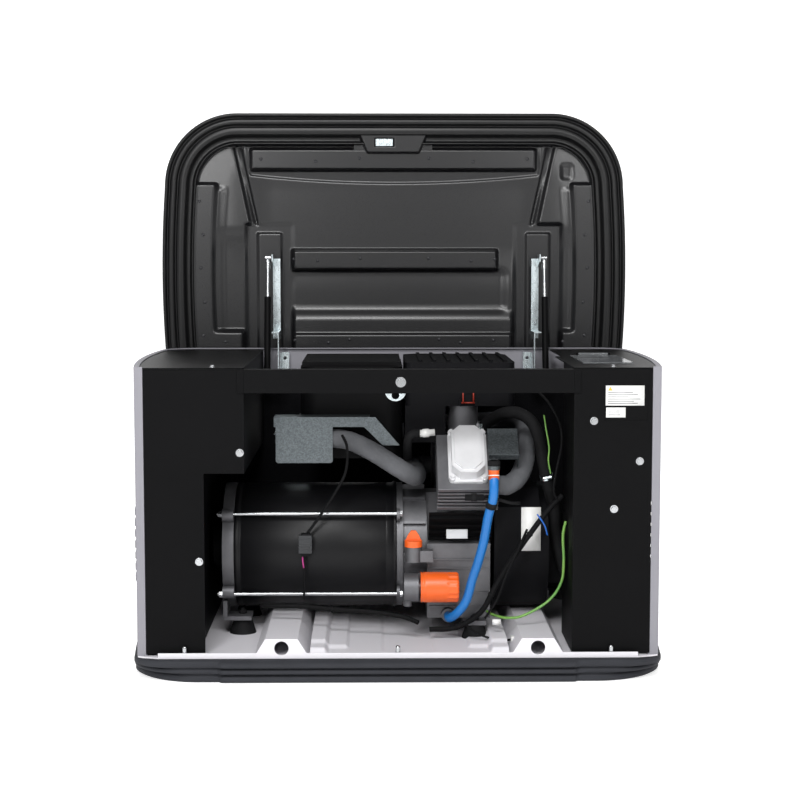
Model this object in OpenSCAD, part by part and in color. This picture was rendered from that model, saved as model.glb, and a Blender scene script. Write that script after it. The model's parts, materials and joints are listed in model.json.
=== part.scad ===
// Home standby generator, air cooled, with its lid open and its front access panel off.
// The origin is the centre of the pad's underside. +X is right, +Y is back and +Z is up.

/* [Enclosure] */
// Width of the enclosure at its widest point
body_w = 1150; // [1140:1:1160]
// Height of the enclosure's top rim above the floor
rim_z = 664; // [660:1:668]
// How far each side wall bows inward at the front corner
side_bow = 25; // [15:1:30]
// Sheet thickness of the panels and boxes
sheet = 2.5; // [2:0.1:3]
// Height of the pad that the enclosure stands on
pad_h = 50; // [45:1:55]
// Width of the pad
pad_w = 1164; // [1160:1:1180]

/* [Lid] */
// Height of the lid from its rim to its top
lid_h = 72; // [68:1:80]
// How far the lid stands open
open_angle = 90; // [80:1:90]
// Radius of the lid's front corners
lid_corner_r = 180; // [150:5:200]

/* [Alternator] */
// Outer radius of the stator housing
stator_r = 140; // [136:1:142]
// Radius of the rotor laminations
rotor_r = 76.5; // [70:0.5:77]
// Radius of the drive shaft
shaft_r = 17.5; // [15:0.5:20]

/* [Engine] */
// Angle of each cylinder from the vertical
bank_angle = 45; // [44:1:46]
// Radius of the cylinder bore
bore_r = 45; // [40:1:46]
// Outer radius of the cylinder fins
fin_r = 62; // [58:1:62]
// Number of fins on each cylinder
fin_count = 8; // [6:1:9]
// Radius of the oil filter
filter_r = 33; // [30:1:34]

/* [Hidden] */
$fn = 48;

// Enclosure plan
body_front = -330;
body_back = 345;
bow_y = 50;
rear_corner_r = 80;
rear_corner_y = body_back - rear_corner_r;
floor_z = pad_h + 3;
plate_z = rim_z - 5;
box_in_x = -322;
ctl_x = 367;
ctl_back = -135;

// Lid hinge and gas struts
lid_front = -352;
lid_back = 352;
lid_rim_z = rim_z + 7;
pivot = [287, 602];
strut_base = [268, 585];
strut_top = [332, 886];
arm_x = [-292.5, 350];
pin_clear = 0.05;

// Alternator and engine line
axis_y = -20;
axis_z = 237;
stator_x = [-361, -1];
tie_r = 158;
tie_angles = [34.5, 145.5, 214.5, 325.5];
case_x = [66, 205];
cyl_x = 151;
blower_r = 142;
blower_x = [214, 335];
deck_d = 110;
head_d = 215;
cover_d = 290;
mount_spots = [[-345, -110], [-345, 70], [170, -182], [170, 142]];
mount_top = 86;
lift_x = [-246, 294];
lift_z = floor_z + 19;
lift_hole_r = 15;

// Routes of the hoses, pipes and wires, through their centres
fuel_route = [[186.3, -22, 505], [196, -22, 505], [212, -46, 522], [239, -94, 543],
    [270, -116, 545], [298, -132, 526], [314, -146, 486], [322, -152, 440],
    [335, -140, 385], [350, -116, 335], [354, -112, 280], [364, -112, 230],
    [382, -112, 175], [400, -104, 128], [412, -60, 112], [419, -16, 112],
    [420, -4, 112], [420, 7.7, 112]];
plug_y = -290;
plug_z = 383;
drain_route = [[203, plug_y, 445.6], [203, plug_y, 438], [203, plug_y, 430],
    [203, -296, 408], [201, -295, 380], [192, -280, 340], [184, -262, 284],
    [173, -246, 236], [161, -234, 194], [151, -228, 154], [141, -226, 134],
    [127, -218, 116], [114, -202, 104], [112, -190, 104], [112, -178.3, 104]];
rear_exhaust_route = [[84.6, 160, 395], [72, 160, 395], [60, 160, 395], [46, 140, 396],
    [42, 110, 398], [44, 40, 400], [46, -40, 400], [42, -108, 403], [26, -146, 414],
    [-5, -156, 434],
    [-55, -144, 464], [-105, -122, 485], [-145, -110, 490], [-168, -101, 490],
    [-172, -88, 490], [-172, -75.4, 490]];
front_exhaust_route = [[217.4, -197, 396], [229, -197, 396], [240, -197, 396],
    [262, -182, 409], [278, -150, 432], [288, -112, 462], [295, -60, 486], [298, 20, 496],
    [296, 120, 500], [284, 215, 498], [246, 276, 490], [160, 300, 482], [86, 286, 478],
    [54, 226, 474], [40, 192, 472], [27, 190, 472], [20, 190, 472], [13.4, 190, 472]];
sensor_route = [[-121, -150, 501], [-110, -162, 474], [-114, -170, 420],
    [-142, -172, 367], [-174, -172, 319], [-197, -172, 287.4]];
sensor_tail_route = [[-203, -172, 235.6], [-204, -173, 180], [-206, -174, 140]];
tail_loom_route = [[-300, -158, 122], [-268, -174, 126], [-205, -182, 126],
    [-140, -184, 120], [-60, -184, 114], [10, -188, 104], [46, -200, 93]];
main_loom_route = [[360, -190, 372], [320, -200, 331], [254, -206, 241],
    [213, -207, 174], [182, -207, 118], [129, -205, 84], [70, -200, 78]];
plug_lead_route = [[182.3, plug_y, plug_z], [186, -282, plug_z], [196, -274, 382],
    [216, -270, 375], [242, -266, 367], [262, -256, 366]];
ground_route = [[363, -232, 322], [357, -235, 290], [359, -236, 236], [354, -236, 189],
    [326, -236, 148], [273, -234, 116], [238, -222, 108], [212, -194, 108],
    [198, -163.4, 110]];

// Half the enclosure's width at a depth, less an inset
function side_x(y, inset = 0) =
    body_w / 2 - inset - side_bow * pow((y - bow_y) / (body_front - bow_y), 2);

// Right-hand edge of the side wall between two depths, as points
function side_edge(y0, y1, inset, steps = 16) =
    [for (i = [0 : steps]) let (y = y0 + (y1 - y0) * i / steps) [side_x(y, inset), y]];

// Points of an arc from one angle to another
function arc(c, r, a0, a1, steps = 9) =
    [for (i = [0 : steps]) let (a = a0 + (a1 - a0) * i / steps) c + r * [cos(a), sin(a)]];

function flip(points) = [for (p = points) [-p[0], p[1]]];
function reverse(points) = [for (i = [len(points) - 1 : -1 : 0]) points[i]];
function closed(points) = concat(points, reverse(flip(points)));

// Right half of the enclosure's outline, from the front edge round to the back
function rear_arc(inset) = let (r = rear_corner_r)
    arc([side_x(rear_corner_y) - r, rear_corner_y], r - inset, 0, 90);
function body_half(front, inset) =
    concat(side_edge(front, rear_corner_y - 8, inset), rear_arc(inset));

// Right half of the lid's outline, from the middle of its front edge
function lid_half(inset) = let (y = lid_front + lid_corner_r, r = lid_corner_r)
    concat([[0, lid_front + inset]],
        arc([side_x(y) - r, y], r - inset, -90, 0, 14),
        side_edge(y + 12, rear_corner_y - 8, inset),
        arc([side_x(rear_corner_y) - rear_corner_r, lid_back - rear_corner_r],
            rear_corner_r - inset, 0, 90),
        [[0, lid_back - inset]]);

// A box between two X, two Y and two Z positions
module block(x, y, z) {
    translate([x[0], y[0], z[0]])
        cube([x[1] - x[0], y[1] - y[0], z[1] - z[0]]);
}

// Round bars along X, Y and Z
module rod_x(r, x, y, z) {
    translate([x[0], y, z]) rotate([0, 90, 0]) cylinder(r = r, h = x[1] - x[0]);
}
module rod_y(r, x, y, z) {
    translate([x, y[1], z]) rotate([90, 0, 0]) cylinder(r = r, h = y[1] - y[0]);
}
module rod_z(r, x, y, z) {
    translate([x, y, z[0]]) cylinder(r = r, h = z[1] - z[0]);
}

// An outline drawn in Y and Z, carried along X
module along_x(x) {
    translate([x[0], 0, 0]) rotate([90, 0, 90]) linear_extrude(x[1] - x[0]) children();
}

// An outline drawn in X and Z, carried along Y
module along_y(y) {
    translate([0, y[1], 0]) rotate([90, 0, 0]) linear_extrude(y[1] - y[0]) children();
}

// The space of the alternator and engine line: X along the shaft
module on_axis() {
    translate([0, axis_y, axis_z]) children();
}

// Both cylinder banks: local +Z runs out along each cylinder, and -Y points up the V
module banks() {
    for (side = [0, 1])
        on_axis() mirror([0, side, 0]) translate([cyl_x, 0, 0])
            rotate([-bank_angle, 0, 0]) children();
}

// The lid's closed shape, turned about the hinge to stand open
module opened() {
    translate([0, pivot[0], pivot[1]])
        rotate([-open_angle, 0, 0])
            translate([0, -pivot[0], -pivot[1]])
                children();
}

// Both hinge sides: local +X points outward from each arm's centre
module hinge_sides() {
    translate([arm_x[0], 0, 0]) mirror([1, 0, 0]) children();
    translate([arm_x[1], 0, 0]) children();
}

// Frames along a route that keep their roll steady, then a tube swept along it
function unit(v) = v / norm(v);
function tangent(p, i) = unit(p[min(i + 1, len(p) - 1)] - p[max(i - 1, 0)]);
function square_to(v, t) = unit(v - (v * t) * t);
function frames(p, i = 0, n = [0.1, 1, 0.2]) = i == len(p) ? [] :
    let (t = tangent(p, i), m = square_to(n, t))
    concat([[m, cross(t, m)]], frames(p, i + 1, m));
// Two points are added to each span, on a smooth curve through the route
function spline(a, b, c, d, u) = 0.5 * (2 * b + (c - a) * u
    + (2 * a - 5 * b + 4 * c - d) * u * u + (3 * b - a - 3 * c + d) * u * u * u);
function smooth(p, n = 2) = let (last = len(p) - 1)
    concat([for (i = [0 : last - 1], k = [0 : n - 1])
        spline(p[max(i - 1, 0)], p[i], p[i + 1], p[min(i + 2, last)], k / n)], [p[last]]);

module tube(route, r, sides = 8, n = 2) {
    p = smooth(route, n);
    f = frames(p);
    rings = len(p);
    points = [for (i = [0 : rings - 1], k = [0 : sides - 1]) let (a = 360 * k / sides)
        p[i] + r * (f[i][0] * cos(a) + f[i][1] * sin(a))];
    skin = [for (i = [0 : rings - 2], k = [0 : sides - 1]) let (j = (k + 1) % sides)
        [i * sides + k, (i + 1) * sides + k, (i + 1) * sides + j, i * sides + j]];
    ends = [[for (k = [0 : sides - 1]) k],
        [for (k = [sides - 1 : -1 : 0]) (rings - 1) * sides + k]];
    polyhedron(points, concat(skin, ends));
}

// ---- Enclosure ----

// Pad outline with a chosen front corner radius, set in from the lip in depth and in width
pad_y = 362;
pad_rear_r = 90;
function pad_outline(r, in_y, in_x = 0) =
    let (x = in_x - (pad_w - body_w) / 2, y = pad_y - in_y, rear_y = y - pad_rear_r)
    closed(concat(arc([side_x(r - y, x) - r, r - y], r, -90, 0, 12),
        side_edge(r - y + 4, rear_y - 4, x),
        arc([side_x(rear_y, x) - pad_rear_r, rear_y], pad_rear_r, 0, 90, 12)));

// A core with three bands round it, whose corners grow rounder towards the ground
module base_pad() {
    color("#2b2c2e") difference() {
        union() {
            linear_extrude(pad_h) polygon(pad_outline(150, 15, 4));
            linear_extrude(16) polygon(pad_outline(150, 12));
            translate([0, 0, 20]) linear_extrude(10) polygon(pad_outline(110, 6));
            translate([0, 0, 34]) linear_extrude(pad_h - 34) polygon(pad_outline(70, 0));
            block([-372, 372], [-pad_y - 10, -300], [0, pad_h - 6]);
        }
        for (z = [16, 30])
            block([-373, 373], [-pad_y - 11, -pad_y - 7], [z, z + 4]);
    }
}

// A folded ridge that a lifting bar passes through
module lift_ridge(x) {
    top = floor_z + 39;
    translate([x, 0, 0]) difference() {
        along_y([-346, 300])
            polygon([[-58, floor_z], [-34, top], [34, top], [58, floor_z]]);
        along_y([-343, 297])
            polygon([[-53, floor_z], [-31, top - 3], [31, top - 3], [53, floor_z]]);
        rod_y(lift_hole_r, 0, [-350, 305], lift_z);
    }
}
module base_tray() {
    color("#d4d2d7") {
        translate([0, 0, pad_h]) linear_extrude(floor_z - pad_h)
            polygon(closed(concat([[505, -346], [535, -338]], body_half(body_front, 1))));
        difference() {
            block([-505, 505], [-346, -343], [floor_z, floor_z + 9]);
            for (x = lift_x) rod_y(lift_hole_r + 1, x, [-347, -342], lift_z);
        }
        for (x = lift_x) lift_ridge(x);
    }
}

// A wall that follows the bowed side between two insets
module side_strip(y0, y1, a, b, z) {
    translate([0, 0, z[0]]) linear_extrude(z[1] - z[0])
        polygon(concat(side_edge(y0, y1, a), reverse(side_edge(y0, y1, b))));
}
module louvres(y0, y1) {
    for (i = [0 : 6]) let (z = 190 + 24 * i) {
        side_strip(y0, y1, -6, sheet / 2, [z + 13, z + 15]);
        side_strip(y0, y1, -6, -4.2, [z, z + 13.5]);
    }
}
module side_panel() {
    y1 = rear_corner_y - 8;
    difference() {
        union() {
            side_strip(body_front, y1, 0, sheet, [floor_z, rim_z]);
            side_strip(body_front, y1, 0, 12, [rim_z - sheet, rim_z]);
            side_strip(body_front, y1, 0, 22, [floor_z, floor_z + sheet]);
            block([532, side_x(body_front) - 0.5], [body_front, body_front + sheet],
                [floor_z, rim_z]);
        }
        for (y = [[-210, -60], [-30, 120]], i = [0 : 6])
            side_strip(y[0] + 4, y[1] - 4, -1, sheet + 1,
                [190 + 24 * i + 2, 190 + 24 * i + 12]);
    }
    louvres(-210, -60);
    louvres(-30, 120);
}
module left_side_panel() {
    color("#b9b8bd") mirror([1, 0, 0]) side_panel();
}
module right_side_panel() {
    color("#b9b8bd") side_panel();
}

gas_x = 420;
gas_z = 112;
module rear_panel() {
    wall = concat(rear_arc(0), flip(reverse(rear_arc(0))));
    inner = concat(rear_arc(sheet), flip(reverse(rear_arc(sheet))));
    lip = concat(rear_arc(12), flip(reverse(rear_arc(12))));
    color("#b9b8bd") difference() {
        union() {
            translate([0, 0, floor_z]) linear_extrude(rim_z - floor_z)
                polygon(concat(wall, reverse(inner)));
            translate([0, 0, rim_z - sheet]) linear_extrude(sheet)
                polygon(concat(wall, reverse(lip)));
        }
        for (i = [0 : 9])
            block([-200, -20], [body_back - 10, body_back + 5],
                [440 + 14 * i, 447 + 14 * i]);
        rod_y(16, gas_x, [body_back - 10, body_back + 5], gas_z);
    }
}
module rear_insulation() {
    color("#1a1a1c") difference() {
        block([-480, 480], [330, body_back - sheet], [80, 590]);
        block([-210, -10], [329, body_back], [430, 585]);
        rod_y(18, gas_x, [329, body_back], gas_z);
    }
}

module left_duct_box() {
    low = box_in_x - 85;
    wall_x = low - 17;
    step = 440;
    color("#1c1c1e") {
        along_y([body_front, body_front + sheet])
            polygon([[-531, 56], [low, 56], [low, step], [box_in_x, step],
                [box_in_x, plate_z], [-531, plate_z]]);
        along_y([297.5, 300])
            polygon([[-531, 56], [wall_x, 56], [wall_x, step], [box_in_x, step],
                [box_in_x, plate_z], [-531, plate_z]]);
        block([box_in_x - sheet, box_in_x], [body_front + 1, 299], [step, plate_z]);
        block([wall_x, box_in_x], [body_front + 1, 299], [step, step + sheet]);
        difference() {
            block([wall_x, wall_x + sheet], [body_front + 1, 299], [56, step + 1]);
            rod_x(58, [wall_x - 1, wall_x + 5], axis_y, axis_z);
        }
    }
}
module right_control_box() {
    color("#1c1c1e") {
        difference() {
            block([ctl_x, 531], [body_front, body_front + sheet], [56, plate_z]);
            block([431, 522], [body_front - 1, body_front + 1], [551, 627]);
        }
        block([ctl_x, ctl_x + sheet], [body_front + 1, ctl_back], [56, plate_z]);
        block([ctl_x, 552], [ctl_back - sheet, ctl_back], [56, 580]);
    }
}

// Right-hand plate over one of the side bays, from a line to the side wall
module bay_plate(x) {
    translate([0, 0, plate_z]) linear_extrude(sheet)
        polygon(concat([[x, body_front + 3]], side_edge(body_front + 3, 250, sheet + 0.5),
            [[x + 190, 298], [x, 298]]));
}
module left_top_plate() {
    color("#232325") mirror([1, 0, 0]) bay_plate(-box_in_x);
}
win_x = [400, 508];
win_y = [-213, 33];
win_hinge = [40, plate_z + sheet + 5];
module right_top_plate() {
    color("#232325") {
        difference() {
            bay_plate(ctl_x);
            block([win_x[0] + 8, win_x[1] - 8], [win_y[0] + 8, win_y[1] - 8],
                [plate_z - 1, plate_z + sheet + 1]);
            block([ctl_x - 1, arm_x[1] + 32], [40, 299], [plate_z - 1, plate_z + sheet + 1]);
        }
        for (x = [[414, 419], [489, 494]])
            block(x, [win_hinge[0] - 4, win_hinge[0] + 4],
                [plate_z + sheet, win_hinge[1] + 3]);
        rod_x(1.5, [418, 490], win_hinge[0], win_hinge[1]);
    }
}
module control_window() {
    color("#9aa0a6") {
        block(win_x, win_y, [plate_z + sheet + 0.4, plate_z + sheet + 3.4]);
        difference() {
            union() {
                rod_x(3.4, [420, 488], win_hinge[0], win_hinge[1]);
                block([420, 488], [win_y[1] - 1, win_hinge[0]],
                    [plate_z + sheet + 1.6, plate_z + sheet + 3.4]);
            }
            rod_x(1.5 + pin_clear, [419, 489], win_hinge[0], win_hinge[1]);
        }
    }
}

bar_y = body_front - 5;
bar_z = [609, 658];
module front_crossbar() {
    x = [box_in_x + 0.5, ctl_x - 0.5];
    color("#1e1e20") {
        block(x, [bar_y, bar_y + sheet], bar_z);
        for (z = [bar_z[0], bar_z[1] - sheet])
            block(x, [bar_y, bar_y + 35], [z, z + sheet]);
        for (t = [[x[0] - 14, x[0] + 1], [x[1] - 1, x[1] + 14]])
            block(t, [bar_y + sheet - 1, body_front], bar_z);
    }
}
module latch_striker() {
    color("#b5c4c4") difference() {
        union() {
            rod_y(22, -6, [bar_y + sheet, bar_y + sheet + 2.5], 614);
            block([-28, 16], [bar_y + sheet, bar_y + sheet + 2.5], [614, 640]);
        }
        rod_y(8, -6, [bar_y, bar_y + 10], 604);
        block([-30, 18], [bar_y, bar_y + 10], [608, 612]);
    }
}

// Base plates, each with the lid's pin and the gas strut's pin
module hinge_bracket() {
    along_x([-14, -11.5])
        polygon([[256, 572], [300, 572], [327, 600], [327, 654], [300, 654], [272, 618],
            [256, 600]]);
    difference() {
        block([-32, -11.5], [324, 327], [600, 654]);
        rod_y(4, -22, [320, 330], 640);
    }
    block([-32, -29], [324, body_back - sheet], [600, 654]);
    rod_x(5, [-12, 9.2], pivot[0], pivot[1]);
    rod_x(4, [-12, 26.8], strut_base[0], strut_base[1]);
}
module hinge_brackets() {
    color("#b5c4c4") hinge_sides() hinge_bracket();
}

module flange_screw(head_r = 6.2) {
    rotate([90, 0, 0]) {
        cylinder(r = head_r * 1.35, h = 1.6);
        cylinder(r = head_r, h = 5.5, $fn = 6);
    }
}
module enclosure_screws() {
    color("#d8d9db") {
        for (p = [[-331, 484], [-418, 254], [409, 550], [506, 465], [453, 364]])
            translate([p[0], body_front, p[1]]) flange_screw();
        translate([5, bar_y, 632]) flange_screw(8);
        for (x = [-388, 450])
            translate([x, body_front + 14, plate_z + sheet]) rotate([-90, 0, 0])
                flange_screw(4.5);
    }
}
stud_y = body_front - 7;
module front_studs() {
    color("#c9cbce") for (x = [-450, -1, 449]) {
        rod_z(5, x, stud_y, [floor_z, floor_z + 18]);
        translate([x, stud_y, floor_z + 18]) sphere(r = 5);
    }
}
module inlet_duct() {
    color("#171719") difference() {
        block([blower_x[1], 553], [-95, 60], [160, 320]);
        block([blower_x[1] - 1, 555], [-92, 57], [163, 317]);
    }
}

// ---- Alternator ----

module stator_housing() {
    color("#1b1b1d") on_axis() difference() {
        union() {
            rod_x(stator_r, stator_x, 0, 0);
            rod_x(stator_r + 3, [stator_x[1] - 8, stator_x[1]], 0, 0);
        }
        rod_x(stator_r - 6, [stator_x[0] - 1, stator_x[1] + 1], 0, 0);
    }
}
module stator_core() {
    x = [stator_x[0] + 50, stator_x[1] - 60];
    color("#8a8c90") on_axis() difference() {
        rod_x(stator_r - 6 - pin_clear, x, 0, 0);
        rod_x(rotor_r + 1.5, [x[0] - 1, x[1] + 1], 0, 0);
        for (k = [0 : 23]) rotate([15 * k, 0, 0])
            block([x[0] - 1, x[1] + 1], [-4, 4], [rotor_r + 6, rotor_r + 34]);
    }
}

// Places its children at the four tie rods
module at_ties() {
    for (a = tie_angles) on_axis() rotate([a, 0, 0]) translate([0, tie_r, 0]) children();
}
module tie_rods() {
    color("#cfd2d5") at_ties() {
        rod_x(4, [stator_x[0] - 36, 12], 0, 0);
        for (x = [[stator_x[0] - 33, stator_x[0] - 25], [stator_x[1] + 7, 12]])
            translate([x[0], 0, 0]) rotate([0, 90, 0])
                cylinder(r = 7.5, h = min(x[1] - x[0], 8), $fn = 6);
    }
}
end_x = [stator_x[0] - 25, stator_x[0]];
module end_bracket() {
    color("#8f8f92") difference() {
        union() {
            on_axis() difference() {
                rod_x(stator_r, end_x, 0, 0);
                rod_x(stator_r - 18, [end_x[0] - 1, end_x[1] - 6], 0, 0);
                for (k = [0 : 5]) rotate([60 * k, 0, 0])
                    rod_x(30, [end_x[0] - 1, end_x[1] + 1], 78, 0);
            }
            on_axis() rod_x(42, [end_x[0], end_x[1]], 0, 0);
            for (k = [0 : 5]) on_axis() rotate([60 * k + 30, 0, 0])
                block([end_x[0] + 3, end_x[1]], [-4, 4], [40, stator_r - 10]);
            at_ties() rod_x(14, end_x, -6, 0);
            for (y = [[-140, -80], [40, 100]]) {
                block([end_x[0], end_x[0] + 9], y, [mount_top, 130]);
                block([end_x[0], -324], y, [mount_top, mount_top + 9]);
            }
        }
        at_ties() rod_x(4 + pin_clear, [end_x[0] - 1, end_x[1] + 1], 0, 0);
        on_axis() rod_x(30, [end_x[0] + 8, end_x[1] + 1], 0, 0);
        on_axis() rod_x(shaft_r + 2, [end_x[0] - 1, end_x[1]], 0, 0);
        for (m = [mount_spots[0], mount_spots[1]])
            rod_z(5 + pin_clear, m[0], m[1], [mount_top - 1, mount_top + 20]);
    }
}
module rear_bearing() {
    color("#c9cdd2") on_axis() difference() {
        rod_x(30 - pin_clear, [end_x[0] + 8, end_x[0] + 24], 0, 0);
        rod_x(shaft_r + pin_clear, [end_x[0], end_x[1] + 1], 0, 0);
        for (x = [[end_x[0] + 7, end_x[0] + 9], [end_x[0] + 23, end_x[0] + 25]])
            difference() {
                rod_x(26, x, 0, 0);
                rod_x(22, x, 0, 0);
            }
    }
}
module brush_cover() {
    color("#1a1a1c") on_axis() difference() {
        union() {
            rod_x(51, [end_x[0] - 26, end_x[0]], 0, 0);
            rod_x(42, [end_x[0] - 29, end_x[0] - 25], 0, 0);
        }
        rod_x(46, [end_x[0] - 23, end_x[0] + 1], 0, 0);
        for (k = [0 : 7]) rotate([45 * k, 0, 0])
            block([end_x[0] - 30, end_x[0] - 20], [-2.5, 2.5], [20, 36]);
    }
}
module engine_adapter() {
    color("#9a9a9d") difference() {
        union() {
            on_axis() rod_x(stator_r, [stator_x[1], stator_x[1] + 14], 0, 0);
            on_axis() rod_x(stator_r - 14, [stator_x[1] + 13, case_x[0]], 0, 0);
            for (k = [0 : 11]) on_axis() rotate([30 * k, 0, 0])
                block([stator_x[1] + 13, case_x[0] - 3], [-3, 3], [100, stator_r - 4]);
            at_ties() rod_x(14, [stator_x[1], stator_x[1] + 7], -6, 0);
        }
        on_axis() rod_x(stator_r - 22, [stator_x[1] - 1, case_x[0] - 8], 0, 0);
        on_axis() rod_x(40, [stator_x[1], case_x[0] + 1], 0, 0);
        at_ties() rod_x(4 + pin_clear, [stator_x[1] - 1, stator_x[1] + 20], 0, 0);
        at_ties() rod_x(9, [stator_x[1] + 7, stator_x[1] + 30], 0, 0);
    }
}
module drive_shaft() {
    web_x = [[100, 114], [142, 156]];
    color("#c4c7ca") on_axis() {
        rod_x(shaft_r, [end_x[0] - 10, 322], 0, 0);
        for (x = web_x) rod_x(52, x, 0, 0);
        rod_x(20, [113, 143], 0, -34);
    }
}
module rotor_core() {
    x = [stator_x[0] + 48, stator_x[1] - 58];
    color("#7c7f84") on_axis() difference() {
        rod_x(rotor_r, x, 0, 0);
        rod_x(shaft_r + pin_clear, [x[0] - 1, x[1] + 1], 0, 0);
        for (k = [0 : 3]) rotate([45 + 90 * k, 0, 0])
            block([x[0] - 1, x[1] + 1], [-14, 14], [50, rotor_r + 2]);
    }
}
module flywheel() {
    color("#6f7276") on_axis() difference() {
        union() {
            rod_x(112, [232, 246], 0, 0);
            rod_x(34, [222, 290], 0, 0);
            for (k = [0 : 17]) rotate([20 * k, 0, 0])
                block([245, 286], [-2, 2], [60, 110]);
        }
        rod_x(shaft_r + pin_clear, [200, 300], 0, 0);
    }
}

// ---- Engine ----

// Crankcase profile across the shaft, with a sloping deck for each cylinder
function case_half() = let (c = cos(bank_angle), s = sin(bank_angle), w = 64)
    [[140, -142], [140, 24],
    [deck_d * s + w * c, deck_d * c - w * s], [deck_d * s - w * c, deck_d * c + w * s]];
module crankcase() {
    color("#8f8f92") difference() {
        union() {
            on_axis() along_x(case_x) polygon(closed(case_half()));
            block([145, 195], [-198, 158], [mount_top, mount_top + 10]);
            rod_y(15, 112, [-178, -150], 104);
            block([25, 78], [-190, -159], [225, 250]);
            rod_z(18, 35, -180, [225, 258]);
            for (z = [120, 150, 205, 225])
                block([case_x[0] + 4, case_x[1] - 4], [-164, -159], [z, z + 3]);
        }
        on_axis() rod_x(72, [case_x[0] + 16, case_x[1] - 16], 0, 0);
        on_axis() rod_x(shaft_r + pin_clear, [case_x[0] - 1, case_x[1] + 1], 0, 0);
        banks() translate([0, 0, 40]) cylinder(r = bore_r, h = 100);
        rod_y(9.9, 112, [-179, -170], 104);
        rod_z(11 + pin_clear, 35, -180, [240, 260]);
        for (m = [mount_spots[2], mount_spots[3]])
            rod_z(5 + pin_clear, m[0], m[1], [mount_top - 1, mount_top + 30]);
    }
}
module cylinders() {
    pitch = (head_d - deck_d - 6) / fin_count;
    color("#77787b") banks() difference() {
        union() {
            translate([0, 0, deck_d]) cylinder(r = bore_r + 8, h = head_d - deck_d);
            for (i = [0 : fin_count])
                translate([0, 0, deck_d + pitch * i + 1]) cylinder(r = fin_r, h = 3.5);
        }
        translate([0, 0, deck_d - 1]) cylinder(r = bore_r, h = head_d - deck_d + 2);
    }
}
head_y = [-86, 64];
module cylinder_heads() {
    color("#a3a3a6") banks() difference() {
        block([-66, 66], head_y, [head_d, cover_d]);
        translate([0, 0, head_d - 1]) cylinder(r = bore_r, h = 14);
        for (i = [0 : 4]) let (z = [head_d + 12 + 12 * i, head_d + 18 + 12 * i]) {
            for (x = [[-67, -53], [53, 67]]) block(x, [head_y[0] - 1, head_y[1] + 1], z);
            for (y = [head_y[0] - 1, head_y[1] - 9]) block([-67, 67], [y, y + 10], z);
        }
    }
}

// Octagonal rocker cover with a raised middle and corner bosses
function octagon(w, l, c) = [[w - c, -l], [w, c - l], [w, l - c], [w - c, l],
    [c - w, l], [-w, l - c], [-w, c - l], [c - w, -l]];
module valve_covers() {
    color("#d2d2d4") banks() translate([0, -22, cover_d]) {
        linear_extrude(7) polygon(octagon(42, 70, 12));
        translate([0, 0, 6]) linear_extrude(27) polygon(octagon(35, 64, 18));
        translate([0, 0, 32]) linear_extrude(6) polygon(octagon(29, 56, 16));
        for (x = [-1, 1], y = [-1, 1])
            translate([34 * x, 62 * y, 0]) {
                cylinder(r = 7, h = 12);
                translate([0, 0, 12]) cylinder(r = 5, h = 5, $fn = 6);
            }
    }
}

// Ribbed sheet shrouds below each cylinder
module cylinder_shrouds() {
    color("#19191b") banks() {
        block([-83, 57], [67, 70], [deck_d + 3, head_d - 2]);
        for (i = [0 : 3])
            block([-81, 55], [69, 76], [deck_d + 12 + 24 * i, deck_d + 19 + 24 * i]);
    }
}
module blower_housing() {
    color("#141416") on_axis() difference() {
        union() {
            rod_x(blower_r, blower_x, 0, 0);
            along_x([blower_x[0], blower_x[0] + 100]) polygon([[-blower_r, 0],
                [-blower_r, 105], [-95, blower_r], [95, blower_r], [blower_r, 105],
                [blower_r, 0]]);
        }
        rod_x(blower_r - 6, [blower_x[0] + 4, blower_x[1] - 6], 0, 0);
        rod_x(44, [blower_x[0] - 1, blower_x[0] + 5], 0, 0);
        difference() {
            rod_x(72, [blower_x[1] - 7, blower_x[1] + 1], 0, 0);
            for (k = [0 : 7]) rotate([22.5 * k, 0, 0])
                block([blower_x[1] - 6, blower_x[1]], [-2, 2], [-75, 75]);
        }
        rod_x(24, [blower_x[1] - 8, blower_x[1] + 1], 0, 0);
    }
}

module oil_filter_base() {
    color("#8f8f92") {
        rod_x(30, [14, 45], -215, 175);
        rod_x(14, [44, 50], -215, 175);
        block([18, 44], [-215, -165], [160, 198]);
        block([18, 84], [-176, -160], [160, 198]);
        rod_z(10, 22, -196, [130, 162]);
    }
}
module oil_filter() {
    x = [50, 133];
    color("#f6752a") {
        rod_x(filter_r, [x[0], x[1] - 6], -215, 175);
        rod_x(filter_r - 4, [x[1] - 7, x[1]], -215, 175);
        for (k = [0 : 14]) translate([0, -215, 175]) rotate([24 * k, 0, 0])
            block([x[1] - 24, x[1] - 2], [-2, 2], [filter_r - 6, filter_r - 0.5]);
    }
}
module spark_plug_lead() {
    color("#161618") {
        rod_x(7, [142, 182], plug_y, plug_z);
        rod_x(8.5, [155, 167], plug_y, plug_z);
        tube(plug_lead_route, 3.6);
    }
}
module oil_filler_cap() {
    color("#f6752a") {
        rod_z(11, 35, -180, [246, 259]);
        rod_z(19.5, 35, -180, [258.2, 272]);
        along_y([-183, -177]) translate([35, 272])
            polygon([[-18, -1], [18, -1], [12, 12], [5, 22], [-5, 22], [-12, 12]]);
    }
}

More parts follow.
